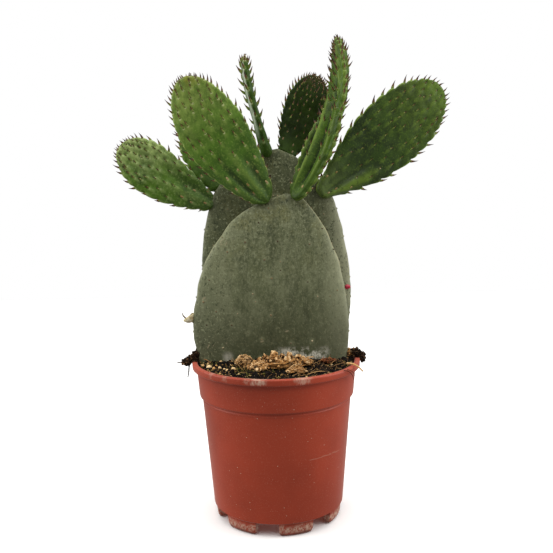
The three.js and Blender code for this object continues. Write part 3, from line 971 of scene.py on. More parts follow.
@dataclass
class Pot:
    """One moulded nursery pot: lip, collar, bead, tapered body, raised floor and seven feet."""

    rim_radius: float = 75.0
    height: float = 141.5
    lip_height: float = 5.7
    lip_inner: float = 70.6
    collar_top: float = 71.0
    collar_radius: float = 69.0
    collar_foot: float = 111.9
    body_top: float = 66.4
    body_foot: float = 58.8
    foot_height: float = 11.8
    foot_outer: float = 57.2
    foot_inner: float = 50.0
    wall: float = 1.9
    floor: float = 2.4
    feet: int = 7
    foot_width: float = 31.0
    first_foot: float = 15.5
    foot_corner: float = 3.2
    drain_radius: float = 4.5
    drain_ring: float = 38.0
    drain_sides: int = 24
    drill_spare: float = 3.0
    collar_slope: float = 2.4
    sharp_edge: float = 38.0

    def inner_radius(self, z: float) -> float:
        """Radius of the inner wall: a straight line between two heights, less the wall."""
        if z < self.collar_foot:
            share = (z - self.foot_height) / (self.collar_foot - self.collar_slope - self.foot_height)
            return self.body_foot + share * (self.body_top - self.body_foot) - self.wall
        share = (z - self.collar_foot) / (self.height - self.lip_height - self.collar_foot)
        return self.collar_radius + share * (self.collar_top - self.collar_radius) - self.wall

    def outline(self) -> list[tuple[float, float, float]]:
        """Corners of the wall's section from the foot's root over the lip to the floor's middle.

        Returns:
            Radius, height and rounding of each corner.
        """
        lip_under = self.height - self.lip_height
        bead = self.collar_foot - 4.7
        slope_foot = self.collar_foot - self.collar_slope
        floor_top = self.foot_height + self.floor
        return [
            (self.body_foot - 0.2, self.foot_height + 0.9, 0.8),
            (self.body_top, bead, 0.5),
            (self.body_top + 0.4, bead + 1.2, 0.5),
            (self.body_top, bead + 2.4, 0.5),
            (self.body_top + 0.1, self.collar_foot - 0.8, 0.4),
            (self.collar_radius - 0.2, self.collar_foot - 0.6, 1.0),
            (self.collar_radius + 0.1, self.collar_foot + 1.6, 1.2),
            (self.collar_top, lip_under, 0.9),
            (self.rim_radius - 0.2, lip_under, 1.2),
            (self.rim_radius, self.height, 1.3),
            (self.lip_inner, self.height, 0.9),
            (self.inner_radius(lip_under), lip_under - 1.0, 1.0),
            (self.inner_radius(self.collar_foot), self.collar_foot, 1.0),
            (self.inner_radius(slope_foot), slope_foot, 1.0),
            (self.inner_radius(floor_top), floor_top, 1.5),
            (6.0, floor_top, 0.5),
        ]

    def section(self) -> Array:
        """The outline with each corner turned into a small arc (a quadratic curve).

        Returns:
            Radius and height of each point.
        """
        corners = np.array(self.outline())
        spots = [corners[0, :2]]
        for before, here, after in zip(corners, corners[1:], corners[2:]):
            gap_in = np.linalg.norm(before[:2] - here[:2])
            gap_out = np.linalg.norm(after[:2] - here[:2])
            start = here[:2] + (before[:2] - here[:2]) * min(here[2] / gap_in, 0.45)
            end = here[:2] + (after[:2] - here[:2]) * min(here[2] / gap_out, 0.45)
            t = np.linspace(0, 1, 5)[:, None]
            spots.extend((1 - t) ** 2 * start + 2 * t * (1 - t) * here[:2] + t**2 * end)
            if gap_out > 12:
                spots.extend(end + (after[:2] - end) * s for s in np.linspace(0.1, 0.85, 8)[:, None])
        return np.array(spots + [corners[-1, :2]])

    def bearings(self) -> Array:
        """Angles round the pot in radians, closer together at the sides of each foot."""
        half = radians(self.foot_width / 2)
        near = np.array([-0.9, -0.1, 0.1, 0.35, 0.7, 1.2, 1.8, 2.5, 3.2]) / self.foot_outer
        wide = np.linspace(-half + 0.09, half - 0.09, 12)
        gap = np.linspace(half + 0.05, 2 * pi / self.feet - half - 0.05, 9)
        period = np.concatenate([-half + near, wide, (half - near)[::-1], gap])
        starts = radians(self.first_foot) + np.arange(self.feet) * 2 * pi / self.feet
        return np.sort((period[None] + starts[:, None]).ravel())

    def foot_reach(self, bearing: Array) -> Array:
        """How far down the foot goes, from 0 between feet to 1, with its lower corners rounded.

        Within a corner's radius of the foot's side the edge rises along a quarter circle.
        """
        period = 2 * pi / self.feet
        offset = (bearing - radians(self.first_foot) + period / 2) % period - period / 2
        inside = (radians(self.foot_width / 2) - np.abs(offset)) * self.foot_outer
        short = np.clip(self.foot_corner - inside, 0, self.foot_corner)
        rise = self.foot_corner - np.sqrt(self.foot_corner**2 - short**2)
        return np.where(inside > 0, 1 - rise / self.foot_height, 0.0)

    def surface(self) -> Surface:
        """The section carried round the axis, with the foot's ring let down where a foot is."""
        bearing = self.bearings()
        inner, outer = self.foot_inner, self.foot_outer
        lower = np.array([
            (6.0, 0.0), (20.0, 0.0), (36.0, 0.0), (45.0, 0.0),
            (inner, 0.0), (inner + 0.2, 0.6), (inner + 1.0, 0.97), (inner + 1.6, 1.0),
            (outer - 3.6, 1.0), (outer - 2.2, 0.94), (outer - 1.0, 0.76), (outer - 0.5, 0.4),
            (outer - 0.1, 0.02),
        ])
        section = self.section()
        radius = np.concatenate([lower[:, 0], section[:, 0]])[:, None]
        down = np.concatenate([lower[:, 1], np.zeros(len(section))])[:, None]
        level = np.concatenate([np.full(len(lower), self.foot_height), section[:, 1]])[:, None]
        z = level - self.foot_height * down * self.foot_reach(bearing)[None]
        grid = np.stack([radius * np.sin(bearing), -radius * np.cos(bearing), z], axis=-1)
        first = np.array([0.0, 0.0, self.foot_height])
        last = np.array([0.0, 0.0, self.foot_height + self.floor])
        return woven(grid, first, last)

    def drills(self) -> Surface:
        """Upright cylinders through the floor, one between each two feet."""
        circle = round_angles(self.drain_sides)
        levels = (self.foot_height - self.drill_spare, self.foot_height + self.floor + self.drill_spare)
        made = []
        for bearing in radians(self.first_foot) + (np.arange(self.feet) + 0.5) * 2 * pi / self.feet:
            middle = np.array([self.drain_ring * sin(bearing), -self.drain_ring * cos(bearing)])
            around = middle + self.drain_radius * np.stack([np.cos(circle), np.sin(circle)], axis=-1)
            ends = [np.column_stack([around, np.full(self.drain_sides, z)]) for z in levels]
            made.append(woven(np.stack(ends)))
        return joined(made)

    def build(self, bench: Bench) -> None:
        """Places the pot and cuts its drain holes with a Boolean that is applied at once.

        Args:
            bench: places the pieces.
        """
        plastic = PotPlastic(bench.axis).make()
        made = bench.place("pot_moulded", self.surface(), plastic, Slot.POT, "pot")
        drill = bench.place("drill", self.drills(), plastic)
        cut = made.modifiers.new("drains", "BOOLEAN")
        cut.operation, cut.object, cut.solver = "DIFFERENCE", drill, "MANIFOLD"
        evaluated = made.evaluated_get(bpy.context.evaluated_depsgraph_get())
        made.data = bpy.data.meshes.new_from_object(evaluated)
        made.modifiers.clear()
        made.data.set_sharp_from_angle(angle=radians(self.sharp_edge))
        bpy.data.objects.remove(drill)


# ------------ old pads


@dataclass
class OldPad:
    """An old pad, given by its left and right edges from the buried end to the crown.

    A section at a height is a superellipse between the edges. It stands in a plane of constant
    y, bows out of it, is thickest low down and rounds over at both ends.
    """

    node: str
    plane: float
    bow: float
    foot: Pair
    left: tuple[Pair, ...]
    right: tuple[Pair, ...]
    crown: Pair
    seed: int
    skin: OldSkin = OldSkin()
    foot_half_thickness: float = 10.0
    crown_half_thickness: float = 7.8
    squareness: float = 2.5
    spacing: float = 24.0
    kept: float = 0.72
    bare: Pair = (70.0, 4.0)
    scars: tuple[tuple[float, float, float, float, float], ...] = ()
    rings: int = 230
    sides: int = 176

    def grid(self) -> Array:
        """Points of the smooth pad, rows from the buried end to the crown."""
        s = closing_steps(self.rings)
        left = catmull_rom(np.array([self.foot, *self.left, self.crown], float), s)
        right = catmull_rom(np.array([self.foot, *self.right, self.crown], float), s)
        centre, half = (left + right) / 2, (right - left) / 2
        middle, half_height = (self.foot[1] + self.crown[1]) / 2, (self.crown[1] - self.foot[1]) / 2
        rise = np.clip((centre[:, 1] - middle) / half_height, -1, 1)
        thinning = self.crown_half_thickness - self.foot_half_thickness
        full = self.foot_half_thickness + thinning * (rise + 1) / 2
        thickness = full * (1 - np.abs(rise) ** 3) ** (1 / 2.2)
        depth = self.plane + self.bow * np.cos(np.pi / 2 * rise)
        across, out = superellipse(round_angles(self.sides), self.squareness)
        return np.stack([
            centre[:, :1] + half[:, :1] * across,
            depth[:, None] + thickness[:, None] * out,
            centre[:, 1:] + half[:, 1:] * across,
        ], axis=-1)

    def areole_spots(self, grid: Array) -> Array:
        """Staggered spots over both faces and along both edges, jittered by the seed.

        Args:
            grid: points of the smooth pad.

        Returns:
            The grid's points that are nearest to the spots.
        """
        random = np.random.default_rng(self.seed)
        spots = []
        heights = grid[:, :, 2].mean(axis=1)
        low, high = heights[0] + self.bare[0], heights[-1] - self.bare[1]
        for row, z in enumerate(np.arange(low, high, self.spacing * 0.55)):
            level = int(np.argmin(np.abs(heights - z)))
            ring = grid[level]
            width = ring[:, 0].max() - ring[:, 0].min()
            columns = max(1, round(width / self.spacing))
            share = (np.arange(columns) + 0.25 + 0.5 * (row % 2)) / columns
            for face in (1, -1):
                kept = random.random(columns) < self.kept
                x = ring[:, 0].min() + width * np.clip(share + random.normal(0, 0.05, columns), 0.05, 0.95)
                up = random.integers(-4, 5, columns)
                for value, shift in zip(x[kept], up[kept]):
                    ring = grid[np.clip(level + shift, 0, len(grid) - 1)]
                    side = ring[ring[:, 1] * face > ring[:, 1].mean() * face]
                    spots.append(side[np.argmin(np.abs(side[:, 0] - value))])
            if row % 2 == 0:
                spots.extend([ring[0], ring[self.sides // 2]])
        return np.array(spots)

    def scar(self, points: Array) -> Array:
        """Curved scars: 1 on an arc of given middle (x, z), radius and two angles, 0 off it."""
        mark = np.zeros(len(points))
        for x, z, radius, start, end in self.scars:
            across, up = points[:, 0] - x, points[:, 2] - z
            turn = np.degrees(np.arctan2(up, across)) % 360
            on_arc = np.exp(-(((np.hypot(across, up) - radius) / 0.5) ** 2))
            mark = np.maximum(mark, on_arc * ((turn > start) & (turn < end)))
        return mark

    def build(self, bench: Bench) -> None:
        """Places the pad with its relief, and the dry areoles on it.

        The relief is broad lumps, upright wrinkles, a dimple round each areole and a fine
        raised margin.

        Args:
            bench: places the pieces.
        """
        grid = self.grid()
        first = np.array([self.foot[0], self.plane, self.foot[1]])
        last = np.array([self.crown[0], self.plane, self.crown[1]])
        normals = outward(grid, first, last).reshape(-1, 3)
        spots = self.areole_spots(grid)
        flat = grid.reshape(-1, 3)
        near, boss = hills(flat, spots, 3.0), hills(flat, spots, 1.1)
        edge = np.tile(np.abs(np.cos(round_angles(self.sides))) ** 16, len(grid))
        scar = self.scar(flat) * (flat[:, 1] < self.plane)
        relief = 0.7 * noise(flat, 34, self.seed) + 0.2 * noise(flat, (5.5, 5.5, 34), self.seed + 1, 2)
        relief += 0.12 * noise(flat, 3.4, self.seed + 2, 2) - 0.35 * near + 0.55 * boss + 0.3 * scar
        relief += edge * (0.3 + 1.3 * noise(flat, 19, self.seed + 4, 2))
        moved = flat + normals * relief[:, None]
        values = {"edge": edge, "scar": scar, "near": near}
        surface = woven(moved.reshape(grid.shape), first, last, values)
        skin = self.skin.make(self.node, bench.axis)
        bench.place(self.node + "_skin", surface, skin, Slot.OLD_SKIN, self.node)

        random = np.random.default_rng(self.seed + 3)
        index = nearest(flat, spots)
        axes = normals[index]
        size = random.uniform(0.5, 0.95, len(index))
        sizes = np.stack([size, size * random.uniform(0.7, 1.1, len(size)), size * 0.55], axis=-1)
        turns = turns_to(axes, unit(random.normal(size=axes.shape)))
        tufts = scattered(ball(4, 8), moved[index], turns, sizes, {"tone": random.random(len(size))})
        bench.place(self.node + "_areoles", tufts, bench.finish(OLD_AREOLE), Slot.DRY_BUD)


OLD_PADS = (
    OldPad(
        "mother_pad_front", plane=2, bow=-4, foot=(-4, 72), crown=(11.5, 288.5), seed=61,
        left=((-50, 89), (-64.2, 112), (-68.6, 141), (-73.2, 170), (-69.6, 195), (-63.4, 221), (-50.2, 247),
              (-31.1, 269.6), (-10.6, 281.6)),
        right=((41, 87), (57.5, 112), (63.3, 141), (64.7, 168), (63.5, 195), (59.2, 219), (49.9, 248),
               (39.2, 268.6), (26.6, 283)),
        scars=((-57, 154, 3.2, 40, 200), (-41, 157, 2.4, 20, 170), (-40, 151, 2.0, 60, 250),
               (-12, 158, 1.4, 0, 300), (-44, 247, 2.6, 0, 360), (-62, 197, 1.6, 0, 360),
               (9, 168, 1.2, 0, 300)),
    ),
    OldPad(
        "mother_pad_back", plane=28, bow=3, foot=(0.7, 77), crown=(4.4, 328.2), seed=62,
        left=((-42, 92), (-54, 112), (-61, 141), (-68, 182), (-67, 219), (-64.2, 250), (-58.8, 274),
              (-49.8, 295), (-31.3, 314), (-11.4, 324.6)),
        right=((44, 92), (54, 112), (61, 141), (69, 176), (69.3, 206), (65.6, 240), (59.9, 271),
               (50.8, 290), (34.5, 308), (21.6, 321)),
        skin=OldSkin(shade=0.5, corky=0.2, painted_light_right=0.9, side_sheen=0.1, flecked=0.95, mottled=0.05),
    ),
)


# ------------ young pads


@dataclass(frozen=True)
class Fold:
    """A lengthwise ridge or furrow of a young pad, which shifts both its faces.

    Args:
        at: its place across the pad, from -1 to 1.
        width: its half width, as a share of the pad's half width.
        depth: how far it moves the pad towards its face; below 0 for a furrow.
        start: where it starts, as a share of the length.
        end: where it ends.
    """

    at: float
    width: float
    depth: float
    start: float
    end: float

    def along(self, u: Array) -> Array:
        """1 between its start and its end, with a soft step at each."""
        begun = smooth_step(u, self.start - 0.08, self.start + 0.08)
        return begun * smooth_step(u, self.end + 0.1, self.end - 0.1)

    def across(self, side: Array, spread: float = 1.0) -> Array:
        """exp(-(distance from its line / width / spread)^2) at places across the pad."""
        return np.exp(-(((side - self.at) / self.width / spread) ** 2))


@dataclass(frozen=True)
class LeafHabit:
    """How the small leaves of a young pad stand, in millimetres and degrees.

    Rows and the leaves of a row are step and across apart, and leaves on an edge edge_step; the
    crowdings are the shares of these that are lost at the tip. A leaf leans from the normal by
    lean on an edge and face_lean on a face, and is on_faces as large there. Faces are bare up to
    that share of the length. The skin rises by cushion or face_cushion under each leaf.
    """

    across: float = 16.0
    step: float = 11.0
    crowding: float = 0.62
    edge_step: float = 10.5
    edge_crowding: float = 0.72
    foot_length: float = 3.8
    length: float = 7.0
    tip_length: float = 3.8
    radius: float = 1.35
    sunk: float = 0.8
    lean: float = 40.0
    face_lean: float = 56.0
    bare: float = 0.28
    cushion: float = 1.5
    face_cushion: float = 0.7
    cushion_reach: float = 6.5
    on_faces: float = 0.78
    face_green: float = 0.5


@dataclass
class YoungPad:
    """A young pad, given by its midline (a quadratic curve) and its width along it.

    Its half width is neck + (1 - neck) sin(quarter turn * u / peak)^flare up to the widest
    place, and falls as the root of 1 - v^blunt beyond it, both times half_width. The section
    is a superellipse, twisted along the midline and cupped towards the face.
    """

    node: str
    base: Point
    bend: Point
    tip: Point
    faces: Point
    half_width: float
    half_thickness: float
    neck: float
    peak: float
    blunt: float
    flare: float
    seed: int
    skin: YoungSkin
    twist: float = 0.0
    cup: float = 0.05
    folds: tuple[Fold, ...] = ()
    habit: LeafHabit = LeafHabit()
    wool: Speckled = DRY_AREOLE
    squareness: float = 2.3
    thinning: float = 0.3
    foot_swell: float = 0.0
    tip_fullness: float = 1.0
    round_end: float = 0.05
    bristles: int = 4
    rings: int = 150
    sides: int = 112

    def midline(self, u: Array) -> Array:
        """Points of the quadratic curve through base, bend and tip."""
        a, b, c = (np.array(p, float) for p in (self.base, self.bend, self.tip))
        u = u[:, None]
        return (1 - u) ** 2 * a + 2 * u * (1 - u) * b + u**2 * c

    def directions(self, u: Array) -> tuple[Array, Array, Array]:
        """Unit vectors along the pad, and across it and out of its face as the twist turns them."""
        a, b, c = (np.array(p, float) for p in (self.base, self.bend, self.tip))
        along = unit((1 - u[:, None]) * (b - a) + u[:, None] * (c - b))
        across = unit(np.cross(np.array(self.faces, float), along))
        out = unit(np.cross(along, across))
        turn = np.radians(self.twist * u)[:, None]
        sine, cosine = np.sin(turn), np.cos(turn)
        return along, across * cosine + out * sine, out * cosine - across * sine

    def half_widths(self, u: Array) -> tuple[Array, Array]:
        """Half width in millimetres, and the share of the thickness that the rounded tip leaves."""
        below = np.minimum(u / self.peak, 1)
        beyond = np.maximum(0, (u - self.peak) / (1 - self.peak))
        swell = self.neck + (1 - self.neck) * np.sin(np.pi / 2 * below) ** self.flare
        close = np.sqrt(np.maximum(0, 1 - beyond**self.blunt))
        end = np.sqrt(1 - np.maximum(0, 1 - u / self.round_end) ** 2)
        return self.half_width * swell * close * end, close * end

    def points(self, u: Array, angle: Array) -> Array:
        """Points of the smooth pad with its folds, for matching arrays of u and angle."""
        _, across, out = self.directions(u)
        width, close = self.half_widths(u)
        swell = 1 - self.thinning * u + self.foot_swell * smooth_step(u, 0.3, 0.0)
        thickness = self.half_thickness * swell * close**self.tip_fullness
        side, face = superellipse(angle, self.squareness)
        shift = thickness * face + self.cup * width * side**2
        for fold in self.folds:
            shift = shift + fold.depth * fold.along(u) * close * fold.across(side)
        return self.midline(u) + across * (width * side)[:, None] + out * shift[:, None]

    def edge_sites(self, random: Draws) -> Array:
        """Sites along the outline, up one edge and down the other, at steps that shrink to the tip.

        Args:
            random: source of the draws.

        Returns:
            Place along the pad and angle round it of each site.
        """
        rise = 0.5 - 0.5 * np.cos(np.linspace(0.12 * np.pi, np.pi, 500))
        u = np.concatenate([rise, rise[::-1]])
        angle = np.repeat([0.0, np.pi], len(rise))
        steps = np.linalg.norm(np.diff(self.points(u, angle), axis=0), axis=1)
        pitch = self.habit.edge_step * (1 - self.habit.edge_crowding * u[1:] ** 3)
        count = np.cumsum(steps / pitch)
        target = np.arange(0.4, count[-1] - 0.2)
        picked = np.searchsorted(count, target + random.normal(0, 0.09, len(target)))
        return np.stack([u[picked], angle[picked] + random.normal(0, 0.1, len(picked))], axis=-1)

    def leaf_sites(self) -> tuple[Array, Array]:
        """Staggered rows over both faces, and the edges, closer towards the tip.

        Returns:
            Place along the pad and angle round it of each leaf.
        """
        random = np.random.default_rng(self.seed)
        line = self.midline(np.linspace(0, 1, 200))
        length = float(np.sum(np.linalg.norm(np.diff(line, axis=0), axis=1)))
        sites: list[Pair] = []
        reach, row = 0.9 * self.habit.step, 0
        while reach < length - 1.5:
            u = reach / length
            width = float(self.half_widths(np.array([u]))[0][0])
            gap = self.habit.across * (1 - self.habit.crowding * u**2)
            columns = max(1, round(2 * width / gap))
            for face in (1, -1):
                share = (np.arange(columns) + 0.27 + 0.46 * (row % 2)) / columns * 2 - 1
                share = np.clip(share + random.normal(0, 0.06, columns), -0.74, 0.74)
                angles = np.arccos(np.sign(share) * np.abs(share) ** (self.squareness / 2))
                behind = 0.5 * self.habit.step / length * (face < 0)
                sites.extend(zip(u + behind + random.normal(0, 0.01, columns), face * angles))
            reach += self.habit.step * (1 - self.habit.crowding * u**2)
            row += 1
        made = np.concatenate([np.array(sites), self.edge_sites(random)])
        made = made[(made[:, 0] > 0.05) & (made[:, 0] < 0.999)]
        return made[:, 0], made[:, 1]

    def fold_marks(self, u: Array, angle: Array) -> dict[str, Array]:
        """Where furrows and ridges are to be seen on the face, more for the deeper ones.

        Args:
            u: places along the pad.
            angle: angles round it.

        Returns:
            The values groove and ridge, from 0 to 1.
        """
        side = superellipse(angle, self.squareness)[0]
        marks = {"groove": np.zeros_like(u), "ridge": np.zeros_like(u)}
        for fold in self.folds:
            kind = "groove" if fold.depth < 0 else "ridge"
            near = fold.along(u) * fold.across(side, 0.75) * (np.sin(angle) > 0)
            marks[kind] = np.maximum(marks[kind], near * min(1.0, abs(fold.depth) / 2.5))
        return marks

    def build(self, bench: Bench) -> None:
        """Places the pad's skin, with a low boss and a crevice where each leaf stands, and its leaves.

        The vertices' numbers are along from base to tip, areole on the bosses, edge, groove and
        ridge on folds, crevice beyond each leaf, bloom on the face, which the skin paints with a
        whitish bloom and a painted reflection, and dot at each leaf's root, where the skin paints a
        highlight.

        Args:
            bench: places the pieces.
        """
        u, angle = (w.ravel() for w in np.meshgrid(
            closing_steps(self.rings), round_angles(self.sides), indexing="ij"))
        flat = self.points(u, angle)
        grid = flat.reshape(-1, self.sides, 3)
        ends = self.points(np.array([0.0, 1.0]), np.zeros(2))
        normals = outward(grid, *ends).reshape(-1, 3)
        sites_u, sites_angle = self.leaf_sites()
        sites = self.points(sites_u, sites_angle)
        along = self.directions(sites_u)[0]
        boss = cushions(flat, sites - along * 1.2, along, self.habit.cushion_reach, 2.2, 2.5)
        # crevice: a dip beyond each leaf, which the skin also paints with shade
        crevice = cushions(flat, sites + along * 1.9, along, 1.3, 2.6, 1.5)
        rim = np.abs(np.cos(angle)) ** 4
        rise = self.habit.face_cushion * (1 - rim) * (0.3 + 0.7 * smooth_step(u, 0.2, 0.75))
        rise = self.habit.cushion * rim + rise
        relief = rise * (boss - 0.45 * crevice) - 0.4 * hills(flat, sites, 6.0)
        relief += 0.5 * noise(flat, 15, self.seed) + 0.14 * noise(flat, 4.5, self.seed + 1, 2)
        relief *= smooth_step(u, 0.0, 0.06) * smooth_step(u, 1.0, 0.97)
        moved = flat + normals * relief[:, None]
        # bloom marks one face for the skin's whitish bloom and painted reflection
        bloom = smooth_step(np.sin(angle), 0.0, 0.5) * (0.22 + 0.78 * smooth_step(-np.cos(angle), 0.25, 0.85))
        # dot marks each leaf's root for a painted highlight in the skin
        values = {
            "along": u, "areole": boss, "edge": np.abs(np.cos(angle)) ** 6, **self.fold_marks(u, angle),
            "crevice": crevice, "bloom": bloom, "dot": hills(flat, sites - along * 0.8, 1.25),
        }
        skin = self.skin.make(self.node.replace("pad", "skin"))
        bench.place(self.node + "_skin", woven(moved.reshape(grid.shape), *ends, values), skin,
                    Slot.YOUNG_SKIN, self.node)
        index = nearest(moved, sites)
        self.leaves(bench, (sites_u, sites_angle), moved[index], normals[index])

    def leaves(self, bench: Bench, where: tuple[Array, Array], roots: Array,
               up: Array) -> None:
        """Places the leaves, which lean towards the tip, and a woolly tuft with bristles at each root.

        Args:
            bench: places the pieces.
            where: place along the pad and angle round it of each leaf.
            roots: the skin's point under each.
            up: the skin's normal there.
        """
        random = np.random.default_rng(self.seed + 5)
        habit, (u, angle), count = self.habit, where, len(roots)
        along = self.directions(u)[0]
        on_edge = np.abs(np.cos(angle)) ** 4
        tilt = habit.face_lean + (habit.lean - habit.face_lean) * on_edge
        lean = np.radians(tilt + random.normal(0, 7, count))[:, None]
        way = unit(up * np.cos(lean) + along * np.sin(lean) + random.normal(0, 0.07, (count, 3)))
        grown, slender = smooth_step(u, 0.02, 0.45), 1 - 0.3 * smooth_step(u, 0.8, 1)
        length = habit.foot_length + (habit.length - habit.foot_length) * grown
        length = length + (habit.tip_length - length) * smooth_step(u, 0.86, 0.985)
        share = habit.on_faces + (1 - habit.on_faces) * on_edge
        length = length * share * random.uniform(0.85, 1.15, count)
        radius = habit.radius * share * (0.7 + 0.3 * grown) * slender * random.uniform(0.9, 1.1, count)
        sizes = np.stack([radius, radius * 0.8, length], axis=-1)
        turns = turns_to(way, along - 0.4 * up + random.normal(0, 0.25, (count, 3)))
        tone = random.normal(0.5, 0.18, count) + 0.4 * smooth_step(u, 0.8, 1)
        tone = np.clip(tone - habit.face_green * (1 - on_edge), -0.4, 1)
        borne = (u >= habit.bare) | (on_edge >= 0.5)
        made = scattered(spike(6, 6, 1.5, 0.8), (roots - way * habit.sunk)[borne], turns[borne], sizes[borne],
                         {"tone": tone[borne]})
        bench.place(self.node + "_leaves", made, bench.finish(LEAF), Slot.YOUNG_SKIN)

        size = random.uniform(0.55, 0.85, count) * slender * np.where(borne, 0.8, 1.0)
        size = np.where(borne, size, 1.15 * size)
        sizes = np.stack([size * np.where(borne, 1.3, 2.0), size, size * 0.65], axis=-1)
        tone = np.where(borne, random.uniform(0.85, 1.25, count), random.uniform(0.45, 0.8, count))
        places = roots + along * (0.9 * borne)[:, None] + up * 0.05
        tufts = scattered(ball(4, 8), places, turns_to(up, along), sizes, {"tone": tone})
        each = self.bristles
        out = unit(np.repeat(up, each, axis=0) + random.normal(0, 0.45, (count * each, 3)))
        thin = np.full(count * each, 0.09)
        sizes = np.stack([thin, thin, random.uniform(1.0, 1.9, count * each)], axis=-1)
        bristles = scattered(spike(2, 3, 0.0, 1.0), np.repeat(places, each, axis=0),
                             turns_to(out, np.roll(out, 1, axis=1)), sizes,
                             {"tone": np.repeat(random.random(count), each)})
        wool = bench.finish(self.wool)
        bench.place(self.node + "_areoles", joined([tufts, bristles]), wool, Slot.DRY_BUD)


